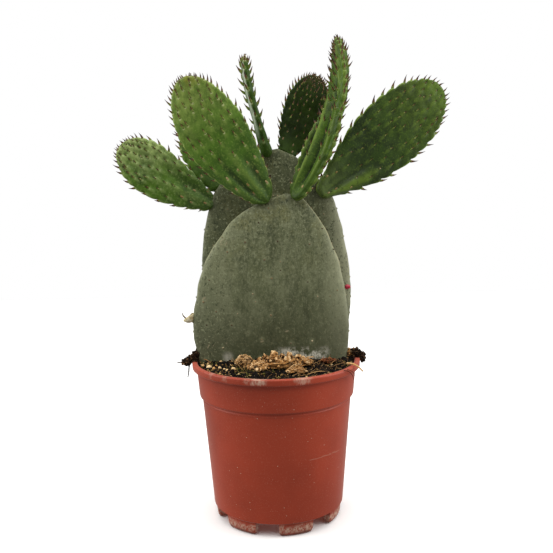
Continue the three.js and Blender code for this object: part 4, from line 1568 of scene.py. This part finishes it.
YOUNG_PADS = (
    YoungPad(
        "young_pad_left", (-53.5, 30, 278.9), (-104, 20, 303.6), (-132.5, 8, 334), (-0.15, -0.87, 0.42),
        half_width=22.6, half_thickness=4.6, neck=0.25, peak=0.61, blunt=2.04, flare=0.95, cup=0.06, seed=11,
        skin=YoungSkin(light="b4c779", painted_light=0.85, cushion=0.2, patchy=0.75, dot=0.2,
                       lit_height=(0.3, 0.336)),
        folds=(Fold(0.3, 0.3, 1.3, 0.1, 0.75), Fold(-0.35, 0.3, -1.4, 0.0, 0.5)),
        habit=LeafHabit(across=13, step=10, crowding=0.7, edge_step=13.5, edge_crowding=0.87, cushion=1.2,
                        face_cushion=1.5, cushion_reach=8, on_faces=0.72, length=6.3),
    ),
    YoungPad(
        "young_pad_big_left", (-3.9, -3.4, 281.4), (-61.5, -10, 348.5), (-70.6, -20, 387), (-0.12, -1, 0.06),
        half_width=28.2, half_thickness=4.8, neck=0.23, peak=0.52, blunt=1.46, flare=0.76, cup=-0.05, seed=12,
        skin=YoungSkin("4b7016", light="a3b75a", tip="a09228", painted_light=0.7, furrow=0.7, patchy=0.5, dot=0.6,
                       lit_along=(0.3, 0.95)),
        folds=(Fold(0.38, 0.14, -2.2, 0.03, 0.3), Fold(-0.45, 0.22, -1.7, 0.04, 0.27),
               Fold(-0.05, 0.22, 1.6, 0.03, 0.4), Fold(0.72, 0.16, 1.0, 0.03, 0.4)),
        habit=LeafHabit(across=12.5, step=10.5, crowding=0.38, edge_step=9.0, edge_crowding=0.8, cushion=1.0,
                        on_faces=0.9),
    ),
    YoungPad(
        "young_pad_hidden", (-48.4, 30.5, 291.6), (-62.2, 49, 321.5), (-81, 63, 361), (0.15, -0.97, 0.25),
        half_width=18.6, half_thickness=4.4, neck=0.22, peak=0.57, blunt=1.6, flare=0.81, seed=13,
        # painted shade: this pad's colours are darkened for the shade it stands in behind the big left pad
        skin=YoungSkin("3c5c0e", "24380a", "647a30", gloss=0.1),
    ),
    YoungPad(
        "young_pad_thin", (-3.6, 21.5, 320.9), (-25.4, 18, 389), (-22.3, 12, 408), (-1, -0.06, 0),
        half_width=15, half_thickness=4.1, neck=0.42, peak=0.6, blunt=1.9, flare=0.9, cup=0.0, seed=14,
        skin=YoungSkin("375610", "1c3008", "6f8742", "8a6a3a", gloss=0.12, painted_light=0.12, bloom_and_sheen=0.8, rim=0.0),
        folds=(Fold(0.2, 0.3, -0.8, 0.2, 0.8),), foot_swell=0.4,
        habit=LeafHabit(across=32, step=8, crowding=0.4, edge_step=12, lean=44, face_lean=44, bare=0.07,
                        face_cushion=1.2, cushion_reach=4, on_faces=1.0, foot_length=5.5, length=7.8,
                        tip_length=2.4, radius=1.75),
    ),
    YoungPad(
        "young_pad_back", (11.5, 30.8, 322.7), (21.9, 40, 340.6), (43.2, 52, 395.7), (0.12, -0.98, 0.1),
        half_width=18.6, half_thickness=4.5, neck=0.34, peak=0.74, blunt=1.66, flare=1.2, seed=15,
        # painted shade: this pad's colours are darkened for the shade it stands in
        skin=YoungSkin("1e2c08", "111906", "36481a", "4c3c1e", gloss=0.06, painted_light=0.16, cushion=0.1, dot=0.0),
        habit=LeafHabit(step=9.5, across=11.5, edge_step=8, crowding=0.9, edge_crowding=0.8, tip_length=4.4,
                        radius=1.5, face_cushion=0.5, on_faces=0.62, face_green=0.0),
        wool=OLD_AREOLE,
    ),
    YoungPad(
        "young_pad_tall", (18.3, -5, 283), (70, -6, 363), (56.8, 4, 419.4), (-0.72, -0.69, 0.1),
        half_width=18.3, half_thickness=4.9, neck=0.4, peak=0.42, blunt=5.0, flare=0.9, twist=-42, cup=0.08,
        seed=16, thinning=0.05, tip_fullness=0.5,
        skin=YoungSkin("405c0f", "1e3008", "80983e", "8a8436", gloss=0.16, painted_light=0.08, cushion=0.1,
                       furrow=1.0, ridge_highlight=0.5, dot=0.1),
        folds=(Fold(-0.13, 0.14, -3.6, 0.09, 0.5), Fold(0.36, 0.2, 2.6, 0.06, 0.6),
               Fold(0.72, 0.12, -2.0, 0.16, 0.5), Fold(1.0, 0.22, 3.6, 0.12, 0.42),
               Fold(-0.7, 0.2, 1.6, 0.08, 0.5), Fold(-0.78, 0.2, 1.6, 0.58, 0.95),
               Fold(-0.3, 0.18, -1.9, 0.54, 0.92)),
        habit=LeafHabit(across=15, step=11, crowding=0.6, edge_step=8.4, edge_crowding=0.55, cushion=2.5,
                        face_cushion=1.2, foot_length=5.6, length=7.8, tip_length=4.2, radius=1.5,
                        face_lean=42, bare=0.2, on_faces=0.9, face_green=0.15),
    ),
    YoungPad(
        "young_pad_right", (41, 23.5, 287), (78.2, 32, 314.2), (155.7, 40, 382.1), (0.1, -0.97, -0.18),
        half_width=31.6, half_thickness=4.9, neck=0.22, peak=0.69, blunt=2.16, flare=1.4, seed=17,
        skin=YoungSkin("304710", "1a2708", "76902c", "6b8a24", "66783c", painted_light=0.3, rim=0.9, ridge_highlight=0.5,
                       dot=0.0, lit_along=(0.55, 0.95)),
        folds=(Fold(-0.62, 0.28, 2.2, 0.06, 0.45), Fold(-0.22, 0.16, -1.6, 0.08, 0.45),
               Fold(0.3, 0.25, -1.0, 0.1, 0.6)),
        habit=LeafHabit(across=17, step=12.5, edge_step=18, edge_crowding=0.8, cushion=1.7, face_cushion=0.5,
                        cushion_reach=9, foot_length=5.0, length=8.2, tip_length=5.4, radius=1.65,
                        on_faces=0.55),
    ),
)


# ------------ soil and litter


@dataclass
class Bed:
    """The peat in the pot, with its crumbs, mineral grains, bark and fibres."""

    pot: Pot
    edge: float = 139.0
    mound: float = 3.6
    reach: float = 67.5
    seed: int = 51
    grains: tuple[tuple[float, float, float], ...] = (
        (-63.9, -18, 2.0), (-58, -25.5, 2.8), (-53.6, -29.5, 1.6), (-48.4, -30.6, 1.7), (-48.9, -9.5, 1.6),
        (-41.2, -37.1, 1.8), (-36.2, -37.6, 2.1), (-34, -42, 1.7), (-22.2, -36.5, 2.2), (-47, -45, 1.5),
        (-44, -33, 1.3), (-60, -13, 1.3), (-52, -20, 1.2), (-31, -52, 1.3), (-17, -58, 1.4), (2, -60, 1.0),
        (36, -44, 0.9), (48, -26, 1.0), (55, -22, 0.9), (60, -6, 1.2), (-38, -24, 1.1), (-30, -60, 1.0),
    )
    bits: tuple[Patch, ...] = (
        (-48, -34, 26, 80, 0.8), (0, -55, 40, 70, 0.6), (45, -38, 30, 60, 0.55), (0, 0, 90, 150, 0.55),
        (-20, -42, 22, 60, 0.9), (20, -50, 24, 50, 0.8),
    )
    moss: tuple[Patch, ...] = (
        (-28, -34, 13, 130, 1), (-25, -50, 12, 80, 1), (-58, -10, 14, 50, 1), (-12, -46, 16, 40, 1),
        (56, -12, 18, 40, 1),
    )
    sticks: tuple[Path, ...] = (
        ((35.6, -50, 142.2), (38.5, -40, 144.0), (41.1, -30, 144.6)),
        ((-66, -3, 142), (-62, -10, 144), (-57, -18, 142.6)),
        ((49, -36, 142.2), (54, -33, 143.4), (58, -27, 142.6)),
        ((26, -58, 141.5), (33, -55, 142.8), (42, -50, 141.6)),
        ((14, -61, 141.5), (20, -58, 143), (27, -53, 142.6)),
    )

    def height(self, x: Array, y: Array) -> Array:
        """Height of the peat: a low mound, with lumps and crumbs from noise of three sizes."""
        radius = np.hypot(x, y)
        flat = np.stack([x, y, np.zeros_like(x)], axis=-1)
        z = self.edge + self.mound * (1 - (radius / self.pot.lip_inner) ** 2)
        return z + 0.9 * noise(flat, 9, self.seed) + 0.7 * noise(flat, 3.2, self.seed + 1, 3)

    def on_top(self, radius: Array, angle: Array) -> Array:
        """Points of the peat's top at given radii and angles, from the front."""
        x, y = radius * np.sin(angle), -radius * np.cos(angle)
        return np.stack([x, y, self.height(x, y)], axis=-1)

    def peat(self) -> Surface:
        """The peat as one body: a turned side with a flat bottom, under the uneven top."""
        around, pot = round_angles(360), self.pot
        floor, lip_under = pot.foot_height + pot.floor + 0.3, pot.height - pot.lip_height
        wall = [(pot.inner_radius(floor) - 0.4, floor),
                (pot.inner_radius(pot.collar_foot - 2.5) - 0.4, pot.collar_foot - 2.5),
                (pot.inner_radius(pot.collar_foot) - 0.4, pot.collar_foot + 0.6),
                (pot.inner_radius(lip_under) - 0.2, lip_under - 1.2)]
        x, y = np.sin(around), -np.cos(around)
        sides = [np.stack([r * x, r * y, 0 * around + z], axis=-1) for r, z in wall]
        rings = []
        for radius in wall[-1][0] * (1 - np.linspace(0, 1, 115)[:-1] ** 1.1):
            rings.append(self.on_top(radius, around))
        made = woven(np.stack(sides + rings))
        made.values["tone"] = 0.25 + 0.25 * noise(made.points, 2.5, self.seed + 4, 2)
        return made

    def spots(self, count: int, random: Draws, inner: float = 0.0) -> Array:
        """Random places on the peat's top, evenly over its area."""
        radius = np.sqrt(random.uniform(inner**2, 68.2**2, count))
        angle = random.uniform(0, 2 * np.pi, count)
        return self.on_top(radius, angle)

    def lumps(self, places: Array, sizes: Array, tones: Array, random: Draws,
              rings: int = 3, sides: int = 6, drawn_out: Pair = (0.55, 1.25)) -> Surface:
        """Small rough lumps: balls drawn out by chance and dented by noise as large as themselves.

        Args:
            places: their middles.
            sizes: their half sizes.
            tones: their tones from 0 to 1.
            random: source of the draws.
            rings: rings of each ball.
            sides: sides of each ball.
            drawn_out: smallest and largest factor by which a ball is drawn out.

        Returns:
            All lumps as one surface.
        """
        count = len(places)
        turns = turns_to(unit(random.normal(size=(count, 3))), unit(random.normal(size=(count, 3))))
        drawn = sizes[:, None] * random.uniform(*drawn_out, (count, 3))
        made = scattered(ball(rings, sides), places, turns, drawn, {"tone": tones})
        middles = np.repeat(places, len(made.points) // count, axis=0)
        dent = noise(made.points, float(np.median(sizes)) * 1.1, self.seed + 9, 2)
        made.points = middles + (made.points - middles) * (1 + 0.45 * dent[:, None])
        return made

    def fibres(self, places: Array, length: Pair, radius: Pair,
               lift: float, random: Draws) -> Surface:
        """Thin bent fibres that lie about the places, each a random walk in the plane.

        Args:
            places: where they start.
            length: shortest and longest.
            radius: thinnest and thickest.
            lift: how steeply a walk may climb.
            random: source of the draws.

        Returns:
            All fibres as one surface.
        """
        count, steps = len(places), 7
        bearing = random.uniform(0, 2 * np.pi, count)[:, None]
        heading = bearing + np.cumsum(random.normal(0, 0.35, (count, steps)), axis=1)
        climb = np.cumsum(random.normal(0, lift, (count, steps)), axis=1)
        pace = random.uniform(*length, count)[:, None] / steps
        walk = np.stack([np.cos(heading) * pace, np.sin(heading) * pace, np.abs(climb) * pace], axis=-1)
        paths = places[:, None] + np.cumsum(walk, axis=1)
        return tubes(paths, random.uniform(*radius, count), 4, 0.5)

    def resting(self, at: Array, lift: Array | float) -> Array:
        """Places in the plane, drawn inside the pot and set on the peat with some lift."""
        reach = np.hypot(*at.T)
        at = at * np.minimum(1, self.reach / np.maximum(reach, 1e-6))[:, None]
        return np.column_stack([at, self.height(*at.T) + lift])

    def strewn(self, patches: tuple[Patch, ...], half: Pair,
               lift: float, random: Draws) -> Surface:
        """Small rough lumps that lie in patches on the peat.

        Args:
            patches: middle, spread, count and factor on the sizes for each patch.
            half: smallest and largest half size before that factor.
            lift: height above the peat, on top of 0.6 of the half size.
            random: source of the draws.

        Returns:
            All lumps as one surface.
        """
        made = []
        for x, y, spread, count, size in patches:
            at = random.normal(0, spread / 2, (count, 2)) + np.array([x, y])
            sizes = size * random.uniform(*half, count)
            places = self.resting(at, 0.6 * sizes + lift)
            made.append(self.lumps(places, sizes, random.random(count), random, 4, 6))
        return joined(made)

    def build(self, bench: Bench) -> None:
        """Places the peat, its crumbs and clods, and the litter on it.

        Args:
            bench: places the pieces.
        """
        random = np.random.default_rng(self.seed)
        peat = bench.finish(PEAT)
        bench.place("soil_top", self.peat(), peat, Slot.PEAT, "soil")
        places = self.spots(2600, random)
        sizes = random.uniform(0.35, 1.0, len(places)) ** 1.6 * 1.7
        tones = random.random(len(places)) ** 2.4
        bench.place("peat_crumbs", self.lumps(places, sizes, tones, random), peat, Slot.PEAT)
        places = self.spots(420, random, 20)
        sizes = random.uniform(1.3, 2.9, len(places))
        tones = random.random(len(places)) ** 3 * 0.8
        bench.place("peat_clods", self.lumps(places, sizes, tones, random, 6, 9), peat, Slot.PEAT)

        grains = np.array(self.grains)
        sizes = 0.86 * grains[:, 2]
        places, tones = self.resting(grains[:, :2], 0.5 * sizes), random.uniform(0.5, 1, len(grains))
        stones = self.lumps(places, sizes, tones, random, 9, 14, (0.8, 1.1))
        bench.place("mineral_grains", stones, bench.finish(MINERAL), Slot.BARK)
        bits = self.strewn(self.bits, (0.5, 1.2), 0.4, random)
        bench.place("bark_bits", bits, bench.finish(BARK_BITS), Slot.BARK)
        moss = self.strewn(self.moss, (0.35, 0.95), 0.3, random)
        bench.place("moss_crumbs", moss, bench.finish(MOSS), Slot.PEAT)

        right = self.spots(320, random, 36)
        right = right[(right[:, 0] > 12) & (right[:, 1] < 8)]
        starts = np.concatenate([right, self.spots(110, random, 25)]) + (0, 0, 0.6)
        fine = self.fibres(starts, (4, 12), (0.13, 0.34), 0.3, random)
        sticks = tubes(curves(self.sticks, 7), np.full(len(self.sticks), 0.42), 5, 0.4)
        bench.place("soil_fibres", joined([fine, sticks]), bench.finish(FIBRE), Slot.BARK)


@dataclass
class BarkLump:
    """A torn lump of bark and coir: knobs, flakes and fibres heaped over a rough core.

    A knob is a middle, as shares of the half sizes, and a radius; a flake is a smallest and a
    largest half size. Strands run along a heading and stray from it, both in degrees, from a
    fray to a reach that are shares of the half size along X.
    """

    name: str
    at: Point
    half: Point
    knobs: tuple[tuple[float, float, float, float], ...]
    flakes: int
    flake: Pair
    seed: int
    strands: int = 0
    heading: Pair = (0.0, 0.0)
    fray: Pair = (-0.5, 0.5)
    reach: Pair = (0.35, 0.85)
    thick: Pair = (0.2, 0.5)
    node: str | None = None
    finish: Speckled = BARK

    def core(self) -> Surface:
        """A ball drawn out to the half sizes, dented by noise of four sizes."""
        made = ball(44, 64)
        rough = 0.7 * noise(made.points, 0.42, self.seed, 4)
        made.points = np.array(self.at) + made.points * (0.72 + rough)[:, None] * np.array(self.half)
        tone = 0.45 + 0.5 * noise(made.points, 2.0, self.seed + 1, 2)
        # hollow grows where the core is dented in, and the finish paints shade there
        made.values = {"tone": tone, "hollow": 0.45 - 1.2 * rough}
        return made

    def knob_pieces(self, random: Draws) -> list[Surface]:
        """Large knobs, each a ball drawn out by chance and made knotty by noise of four sizes."""
        made = []
        for x, y, z, radius in self.knobs:
            knob = ball(20, 28)
            rough = 0.75 * noise(knob.points + random.uniform(0, 50, 3), 0.55, self.seed + 7, 4)
            turn = turns_to(random.normal(size=(1, 3)), random.normal(size=(1, 3)))[0]
            drawn = knob.points * (0.85 + rough)[:, None] * radius * random.uniform(0.75, 1.2, 3)
            knob.points = np.array(self.at) + np.array([x, y, z]) * np.array(self.half) + drawn @ turn.T
            # hollow grows where the knob is dented in, and the finish paints shade there
            knob.values = {"tone": np.clip(0.6 + 1.3 * rough, 0, 1), "hollow": 0.42 - 1.8 * rough}
            made.append(knob)
        return made

    def strand_pieces(self, random: Draws) -> Surface:
        """Fibres that run along the heading, each a walk that keeps its way and sags to its end."""
        count, steps = self.strands, 9
        start = np.stack([random.uniform(*self.fray, count), random.uniform(-0.75, 0.75, count)], axis=-1)
        rise = np.sqrt(np.maximum(0.05, 1 - np.sum(start**2, axis=1) * 0.7)) * random.uniform(0.5, 1.0, count)
        begin = np.array(self.at) + np.column_stack([start, rise]) * np.array(self.half)
        middle, stray = (radians(v) for v in self.heading)
        bearing = middle + random.normal(0, stray, count)[:, None]
        turn = bearing + np.cumsum(random.normal(0, 0.16, (count, steps)), axis=1)
        climb = random.normal(0.12, 0.35, count)[:, None] - 0.11 * np.arange(steps)[None]
        pace = random.uniform(*self.reach, count)[:, None] * self.half[0] / steps
        walk = np.stack([np.cos(turn) * pace, np.sin(turn) * pace, np.clip(climb, -0.5, 0.5) * pace], axis=-1)
        paths = begin[:, None] + np.cumsum(walk, axis=1)
        made = tubes(paths, random.uniform(*self.thick, count), 5, 0.6)
        made.values["tone"] = 0.45 + 0.55 * made.values["tone"]
        made.values["hollow"] = np.zeros(len(made.points))
        return made

    def build(self, bench: Bench, bed: Bed) -> None:
        """Places the lump.

        Args:
            bench: places the pieces.
            bed: the peat that it lies on.
        """
        random = np.random.default_rng(self.seed)
        way = unit(random.normal(size=(self.flakes, 3)) * (1, 1, 0.8))
        way[:, 2] = np.abs(way[:, 2]) * 0.95
        places = np.array(self.at) + way * np.array(self.half) * random.uniform(0.7, 1.02, (self.flakes, 1))
        sizes, tones = random.uniform(*self.flake, self.flakes), random.random(self.flakes)
        flakes = bed.lumps(places, sizes, tones, random, 6, 9)
        flakes.values["hollow"] = np.full(len(flakes.points), 0.2)
        pieces = [self.core(), flakes, *self.knob_pieces(random)]
        if self.strands:
            pieces.append(self.strand_pieces(random))
        bench.place(self.name, joined(pieces), bench.finish(self.finish), Slot.BARK, self.node)


BARK_LUMPS = (
    BarkLump(
        "bark_lump_main_torn", at=(7, -30, 144.5), half=(25, 12, 4.6), seed=21, node="bark_lump_main",
        knobs=((-0.66, 0.3, 0.9, 3.4), (-0.36, 0.4, 1.15, 3.9), (-0.08, 0.3, 1.05, 3.3),
               (0.2, 0.35, 1.1, 3.6), (0.48, 0.2, 0.95, 3.0), (-0.88, 0.0, 0.5, 3.0),
               (-0.5, -0.35, 0.75, 3.2), (-0.2, -0.4, 0.7, 2.9), (0.1, -0.35, 0.7, 3.1),
               (0.38, -0.4, 0.6, 2.7), (-0.75, -0.45, 0.3, 2.6), (0.66, -0.1, 0.7, 2.6)),
        flakes=120, flake=(0.7, 1.9), strands=30, heading=(-14, 24), fray=(0.3, 0.85), reach=(0.14, 0.36),
        thick=(0.3, 0.75),
    ),
    BarkLump(
        "bark_lump_left_torn", at=(-27, -25, 144), half=(8.5, 8, 5.4), seed=22, node="bark_lump_left",
        knobs=((-0.3, 0.1, 0.75, 3.2), (0.3, -0.1, 0.7, 3.0), (0, 0.3, 0.9, 2.6)),
        flakes=330, flake=(0.5, 1.05), strands=6, heading=(0, 90), thick=(0.2, 0.4), finish=OLIVE_BARK,
    ),
    BarkLump(
        "bark_chip_torn", at=(45, -21, 143.4), half=(7.5, 4.5, 2.2), seed=23, node="bark_chip",
        knobs=((-0.2, 0, 0.5, 2.0), (0.3, 0.1, 0.5, 1.7)),
        flakes=12, flake=(0.6, 1.3), strands=10, heading=(15, 20), fray=(-0.7, 0.3), finish=RED_BARK,
    ),
    BarkLump(
        "bark_chunk_front_left", at=(-15, -39, 143.2), half=(9.5, 11, 3.4), seed=24,
        knobs=((-0.3, 0.3, 0.8, 3.2), (0.4, 0.4, 0.7, 3.0), (-0.3, -0.5, 0.6, 2.6), (0.3, -0.3, 0.6, 2.7)),
        flakes=90, flake=(0.7, 1.7), strands=14, heading=(-60, 30),
    ),
    BarkLump(
        "bark_chunk_front_right", at=(17, -52, 142.4), half=(9.5, 4.2, 2.4), seed=25,
        knobs=((-0.7, -0.5, 0.5, 2.0), (0.3, 0.3, 0.7, 1.9)),
        flakes=16, flake=(0.6, 1.3), strands=60, heading=(30, 12), fray=(-1.0, 0.0), reach=(0.5, 1.1),
        thick=(0.25, 0.6),
    ),
    BarkLump(
        "bark_lump_far_right", at=(65.5, 0, 145.4), half=(4.2, 4.0, 3.4), seed=26,
        knobs=((0, 0, 0.5, 2.8), (-0.4, 0.2, 0.2, 1.9)), flakes=14, flake=(0.6, 1.2),
    ),
)


@dataclass
class Clod:
    """Peat spilled on the rim: rough lobes under crumbs, with roots out of them."""

    node: str
    lobes: tuple[tuple[Point, Point], ...]
    roots: tuple[Path, ...]
    seed: int
    root_radius: float = 0.3
    crumbs: int = 130
    hairs: int = 14

    def build(self, bench: Bench, bed: Bed) -> None:
        """Places the clod and its roots.

        Args:
            bench: places the pieces.
            bed: makes the crumbs.
        """
        random = np.random.default_rng(self.seed)
        t = np.linspace(0, 1, 12)
        roots = tubes(curves(self.roots, len(t)), np.full(len(self.roots), self.root_radius), 6, 0.4)
        pieces, threads = [], [roots]
        for at, half in (np.array(lobe, float) for lobe in self.lobes):
            core = ball(32, 44)
            rough = 0.7 * noise(core.points + at, 0.55, self.seed, 4)
            core.points = at + core.points * (0.66 + 1.25 * rough)[:, None] * half
            core.values["tone"] = 0.12 + 0.2 * noise(core.points, 1.5, self.seed + 1)
            way = unit(random.normal(size=(self.crumbs, 3)))
            places = at + way * half * random.uniform(0.55, 1.15, (self.crumbs, 1))
            sizes, tones = random.uniform(0.35, 1.3, self.crumbs), random.random(self.crumbs) ** 2
            pieces += [core, bed.lumps(places, sizes, tones, random, 4, 7)]
            way = unit(random.normal(size=(self.hairs, 3)) + (0, 0, 0.2))
            reach = random.uniform(1.2, 3.0, self.hairs)[:, None, None]
            bend = random.normal(0, 0.6, (self.hairs, 1, 3)) * (t**2)[None, :, None]
            line = (at + way * half * 0.6)[:, None] + (way[:, None] * t[None, :, None] * 1.4 + bend) * reach
            threads.append(tubes(line, random.uniform(0.12, 0.3, self.hairs), 4, 0.7))
        bench.place(self.node + "_crumbs", joined(pieces), bench.finish(SPILLED_PEAT), Slot.PEAT, self.node)
        bench.place(self.node + "_roots", joined(threads), bench.finish(ROOT), Slot.BARK)


CLODS = (
    Clod(
        "peat_clod_left", seed=31, root_radius=0.75,
        lobes=(((-79.6, -5, 141.2), (4.4, 4.0, 3.6)), ((-74.4, -3, 143.6), (5.0, 5.2, 3.4)),
               ((-70.8, -1.5, 147.2), (3.4, 3.8, 3.4)), ((-69.6, -1.0, 150.2), (1.6, 2.0, 2.2))),
        roots=(((-77, -7, 140), (-77.4, -8, 137), (-77.9, -8.4, 132), (-78.8, -8.2, 127.5)),
               ((-80, -6, 141.6), (-83, -6.6, 140.9), (-85.5, -6.8, 141.1), (-88, -7, 140.6))),
    ),
    Clod(
        "peat_clod_right", seed=32,
        lobes=(((71.2, 1.5, 145.4), (4.8, 5.6, 3.8)), ((75.8, 1.0, 143.6), (4.6, 4.8, 3.2)),
               ((77.6, -1.0, 140.6), (2.4, 3.2, 2.8))),
        roots=(((56.4, -49.5, 142.1), (60.6, -46.6, 140.2), (64.2, -41.4, 135.6), (65.9, -36.9, 130.2)),
               ((59.3, -46.2, 142.0), (63.0, -43.4, 139.8), (65.9, -39.6, 136.6), (66.6, -36.2, 133.6))),
    ),
)


@dataclass
class Straw:
    """A straw over the rim: two halves that part towards its outer end."""

    path: Path = ((60.8, -29.5, 142.8), (65.4, -33.2, 143.2), (69.6, -36.6, 141.6), (73.4, -39.5, 138.2))
    radius: float = 0.85
    points: int = 24

    def build(self, bench: Bench) -> None:
        """Places the straw; its lower half is a little thinner and strays by 0.5 mm.

        Args:
            bench: places the pieces.
        """
        line = curves((self.path,), self.points)[0]
        parting = np.linspace(0, 0.5, self.points)[:, None] * (0, 1, 0)
        halves = np.stack([line + (0, 0, 0.16), line - (0, 0, 0.12) + parting])
        straw = tubes(halves, np.array([self.radius, self.radius * 0.85]), 9, 0.3)
        bench.place("straw_split", straw, bench.finish(STRAW), Slot.STRAW, "straw")


@dataclass
class Buds:
    """The withered bud on the front pad's left edge and the red one on its right edge."""

    dry_at: Point = (-76.6, -1.8, 180.4)
    dry_half: Point = (5.2, 3.8, 4.6)
    dry_tilt: float = -35.0
    horns: tuple[Path, ...] = (
        ((-3.2, 0, -0.5), (-5.4, -0.4, 2.2), (-5.8, -0.6, 4.6)),
        ((1.5, 0, 2.0), (2.6, 0, 3.6), (3.0, 0, 4.4)),
        ((4.8, 1.5, -5.4), (2.6, 0.8, -3.6), (0.4, 0, -1.5)),
    )
    horn_radii: Point = (0.8, 0.9, 1.3)
    red_at: Point = (64.2, -1.6, 205.4)
    red_half: Point = (2.4, 1.9, 2.2)

    def husk(self) -> Surface:
        """A papery cup: a ball whose upper part is pressed in, with a wavy torn rim."""
        made = ball(30, 36)
        x, y, z = made.points.T
        pressed = np.where(z > 0.25, 0.25 - 0.9 * (z - 0.25), z)
        frill = 1 + 0.12 * np.sin(5 * np.arctan2(y, x)) * smooth_step(z, -0.2, 0.4)
        points = np.stack([x * frill, y * frill, pressed], axis=-1)
        points *= (1 + 0.16 * noise(made.points, 0.6, 41, 2))[:, None]
        tilt = np.array(Matrix.Rotation(radians(self.dry_tilt), 3, "Y"))
        made.points = np.array(self.dry_at) + (points * np.array(self.dry_half)) @ tilt.T
        made.values["tone"] = 0.75 + 0.3 * noise(made.points, 2.2, 42)
        return made

    def build(self, bench: Bench) -> None:
        """Places both buds; the dry one has two curled horns and a dark stalk.

        Args:
            bench: places the pieces.
        """
        horn = tubes(curves(self.horns, 10) + self.dry_at, np.array(self.horn_radii), 7, 0.75)
        horn.values["tone"] = np.full(len(horn.points), 0.12)
        dry = joined([self.husk(), horn])
        bench.place("withered_bud_husk", dry, bench.finish(DRY_BUD), Slot.DRY_BUD, "withered_bud")
        bud = ball(20, 26)
        point = 1 + 0.25 * smooth_step(bud.points[:, 0], 0.5, 1.0)
        bud.points = np.array(self.red_at) + bud.points * point[:, None] * np.array(self.red_half)
        bench.place("red_bud_skin", bud, bench.finish(RED_BUD), Slot.RED_BUD, "red_bud")


# ------------ stage


@dataclass(frozen=True)
class Studio:
    """A pale floor, soft light from above and both sides, and the photograph's camera.

    The camera's place is in millimetres about the pot's axis; lights are placed in metres about
    the origin, and the one at the left mirrors the one at the right.
    """

    camera_at: Point = (1.79, -636.5, 294.7)
    pitch: float = 7.09
    roll: float = -1.08
    focal_pixels: float = 723.5
    frame_pixels: float = 553.0
    sensor: float = 36.0
    floor_half: float = 1.3
    ceiling_height: float = 2.3
    ceiling_size: float = 5.0
    ceiling_power: float = 140.0
    side_at: Point = (1.15, -0.1, 0.5)
    side_aim: Point = (0.0, 0.0, 0.2)
    side_size: float = 0.7
    left_power: float = 8.0
    right_power: float = 8.5
    fill: float = 0.35

    def camera(self, bench: Bench) -> None:
        """Makes the camera: it looks along +Y, pitched down, then rolled about its own view."""
        data = bpy.data.cameras.new("camera")
        data.sensor_width = self.sensor
        data.lens = self.focal_pixels / self.frame_pixels * self.sensor
        data.clip_start, data.clip_end = 0.01, 50
        made = linked("camera", data)
        pitch, roll = radians(self.pitch), radians(self.roll)
        ahead = Vector((0, cos(pitch), -sin(pitch)))
        up = Vector((0, sin(pitch), cos(pitch)))
        right = Vector((1, 0, 0))
        turned_right = right * cos(roll) + up * sin(roll)
        turned_up = up * cos(roll) - right * sin(roll)
        turn = Matrix((turned_right, turned_up, -ahead)).transposed()
        made.matrix_world = Matrix.Translation(bench.axis + Vector(self.camera_at) * MM) @ turn.to_4x4()
        bpy.context.scene.camera = made

    def light(self, name: str, place: Point, aim: Point, size: float, power: float) -> None:
        """Makes one square soft light that looks from its place to its aim, in metres."""
        data = bpy.data.lights.new(name, "AREA")
        data.shape, data.size, data.energy = "SQUARE", size, power
        made = linked(name, data)
        made.location = place
        made.rotation_euler = (Vector(aim) - Vector(place)).to_track_quat("-Z", "Y").to_euler()
        made.visible_camera = False

    def surroundings(self) -> None:
        """Makes the world white to look at, and a weaker grey as a source of light."""
        world = bpy.data.worlds.new("surroundings")
        world.use_nodes = True
        nodes, links = world.node_tree.nodes, world.node_tree.links
        seen, share = nodes.new("ShaderNodeLightPath"), nodes.new("ShaderNodeMapRange")
        share.inputs["To Min"].default_value = self.fill
        share.inputs["To Max"].default_value = 1.0
        links.new(seen.outputs["Is Camera Ray"], share.inputs["Value"])
        links.new(share.outputs[0], nodes["Background"].inputs["Strength"])
        nodes["Background"].inputs["Color"].default_value = (1.0, 1.0, 1.0, 1.0)
        bpy.context.scene.world = world

    def build(self, bench: Bench) -> None:
        """Makes the floor, the lights, the pale surroundings and the camera.

        Args:
            bench: gives the pot's axis.
        """
        half = self.floor_half
        corners = [(-half, -half, 0), (half, -half, 0), (half, half, 0), (-half, half, 0)]
        mesh = bpy.data.meshes.new("floor")
        mesh.from_pydata(corners, [], [(0, 1, 2, 3)])
        floor = linked("floor", mesh)
        r = Recipe("pale_floor")
        mesh.materials.append(r.finish(r.mix(r.noise(3, 2), "f6f5f3", "f9f8f6"), 0.85))
        floor.visible_diffuse = False
        floor.visible_glossy = False
        self.surroundings()
        above = (0.0, 0.0, self.ceiling_height)
        self.light("ceiling", above, (0, 0, 0), self.ceiling_size, self.ceiling_power)
        x, y, z = self.side_at
        self.light("left", (-x, y, z), self.side_aim, self.side_size, self.left_power)
        self.light("right", (x, y, z), self.side_aim, self.side_size, self.right_power)
        bpy.context.scene.view_settings.view_transform = "Standard"
        self.camera(bench)


def main() -> None:
    """Builds the stage and every sub-assembly in order."""
    logging.basicConfig(level=logging.INFO, format="%(message)s")
    bench, pot = Bench(), Pot()
    bed = Bed(pot)
    for part in (Studio(), pot, *OLD_PADS, *YOUNG_PADS, bed):
        part.build(bench)
    for litter in (*BARK_LUMPS, *CLODS):
        litter.build(bench, bed)
    for part in (Straw(), Buds()):
        part.build(bench)


if __name__ == "__main__":
    main()
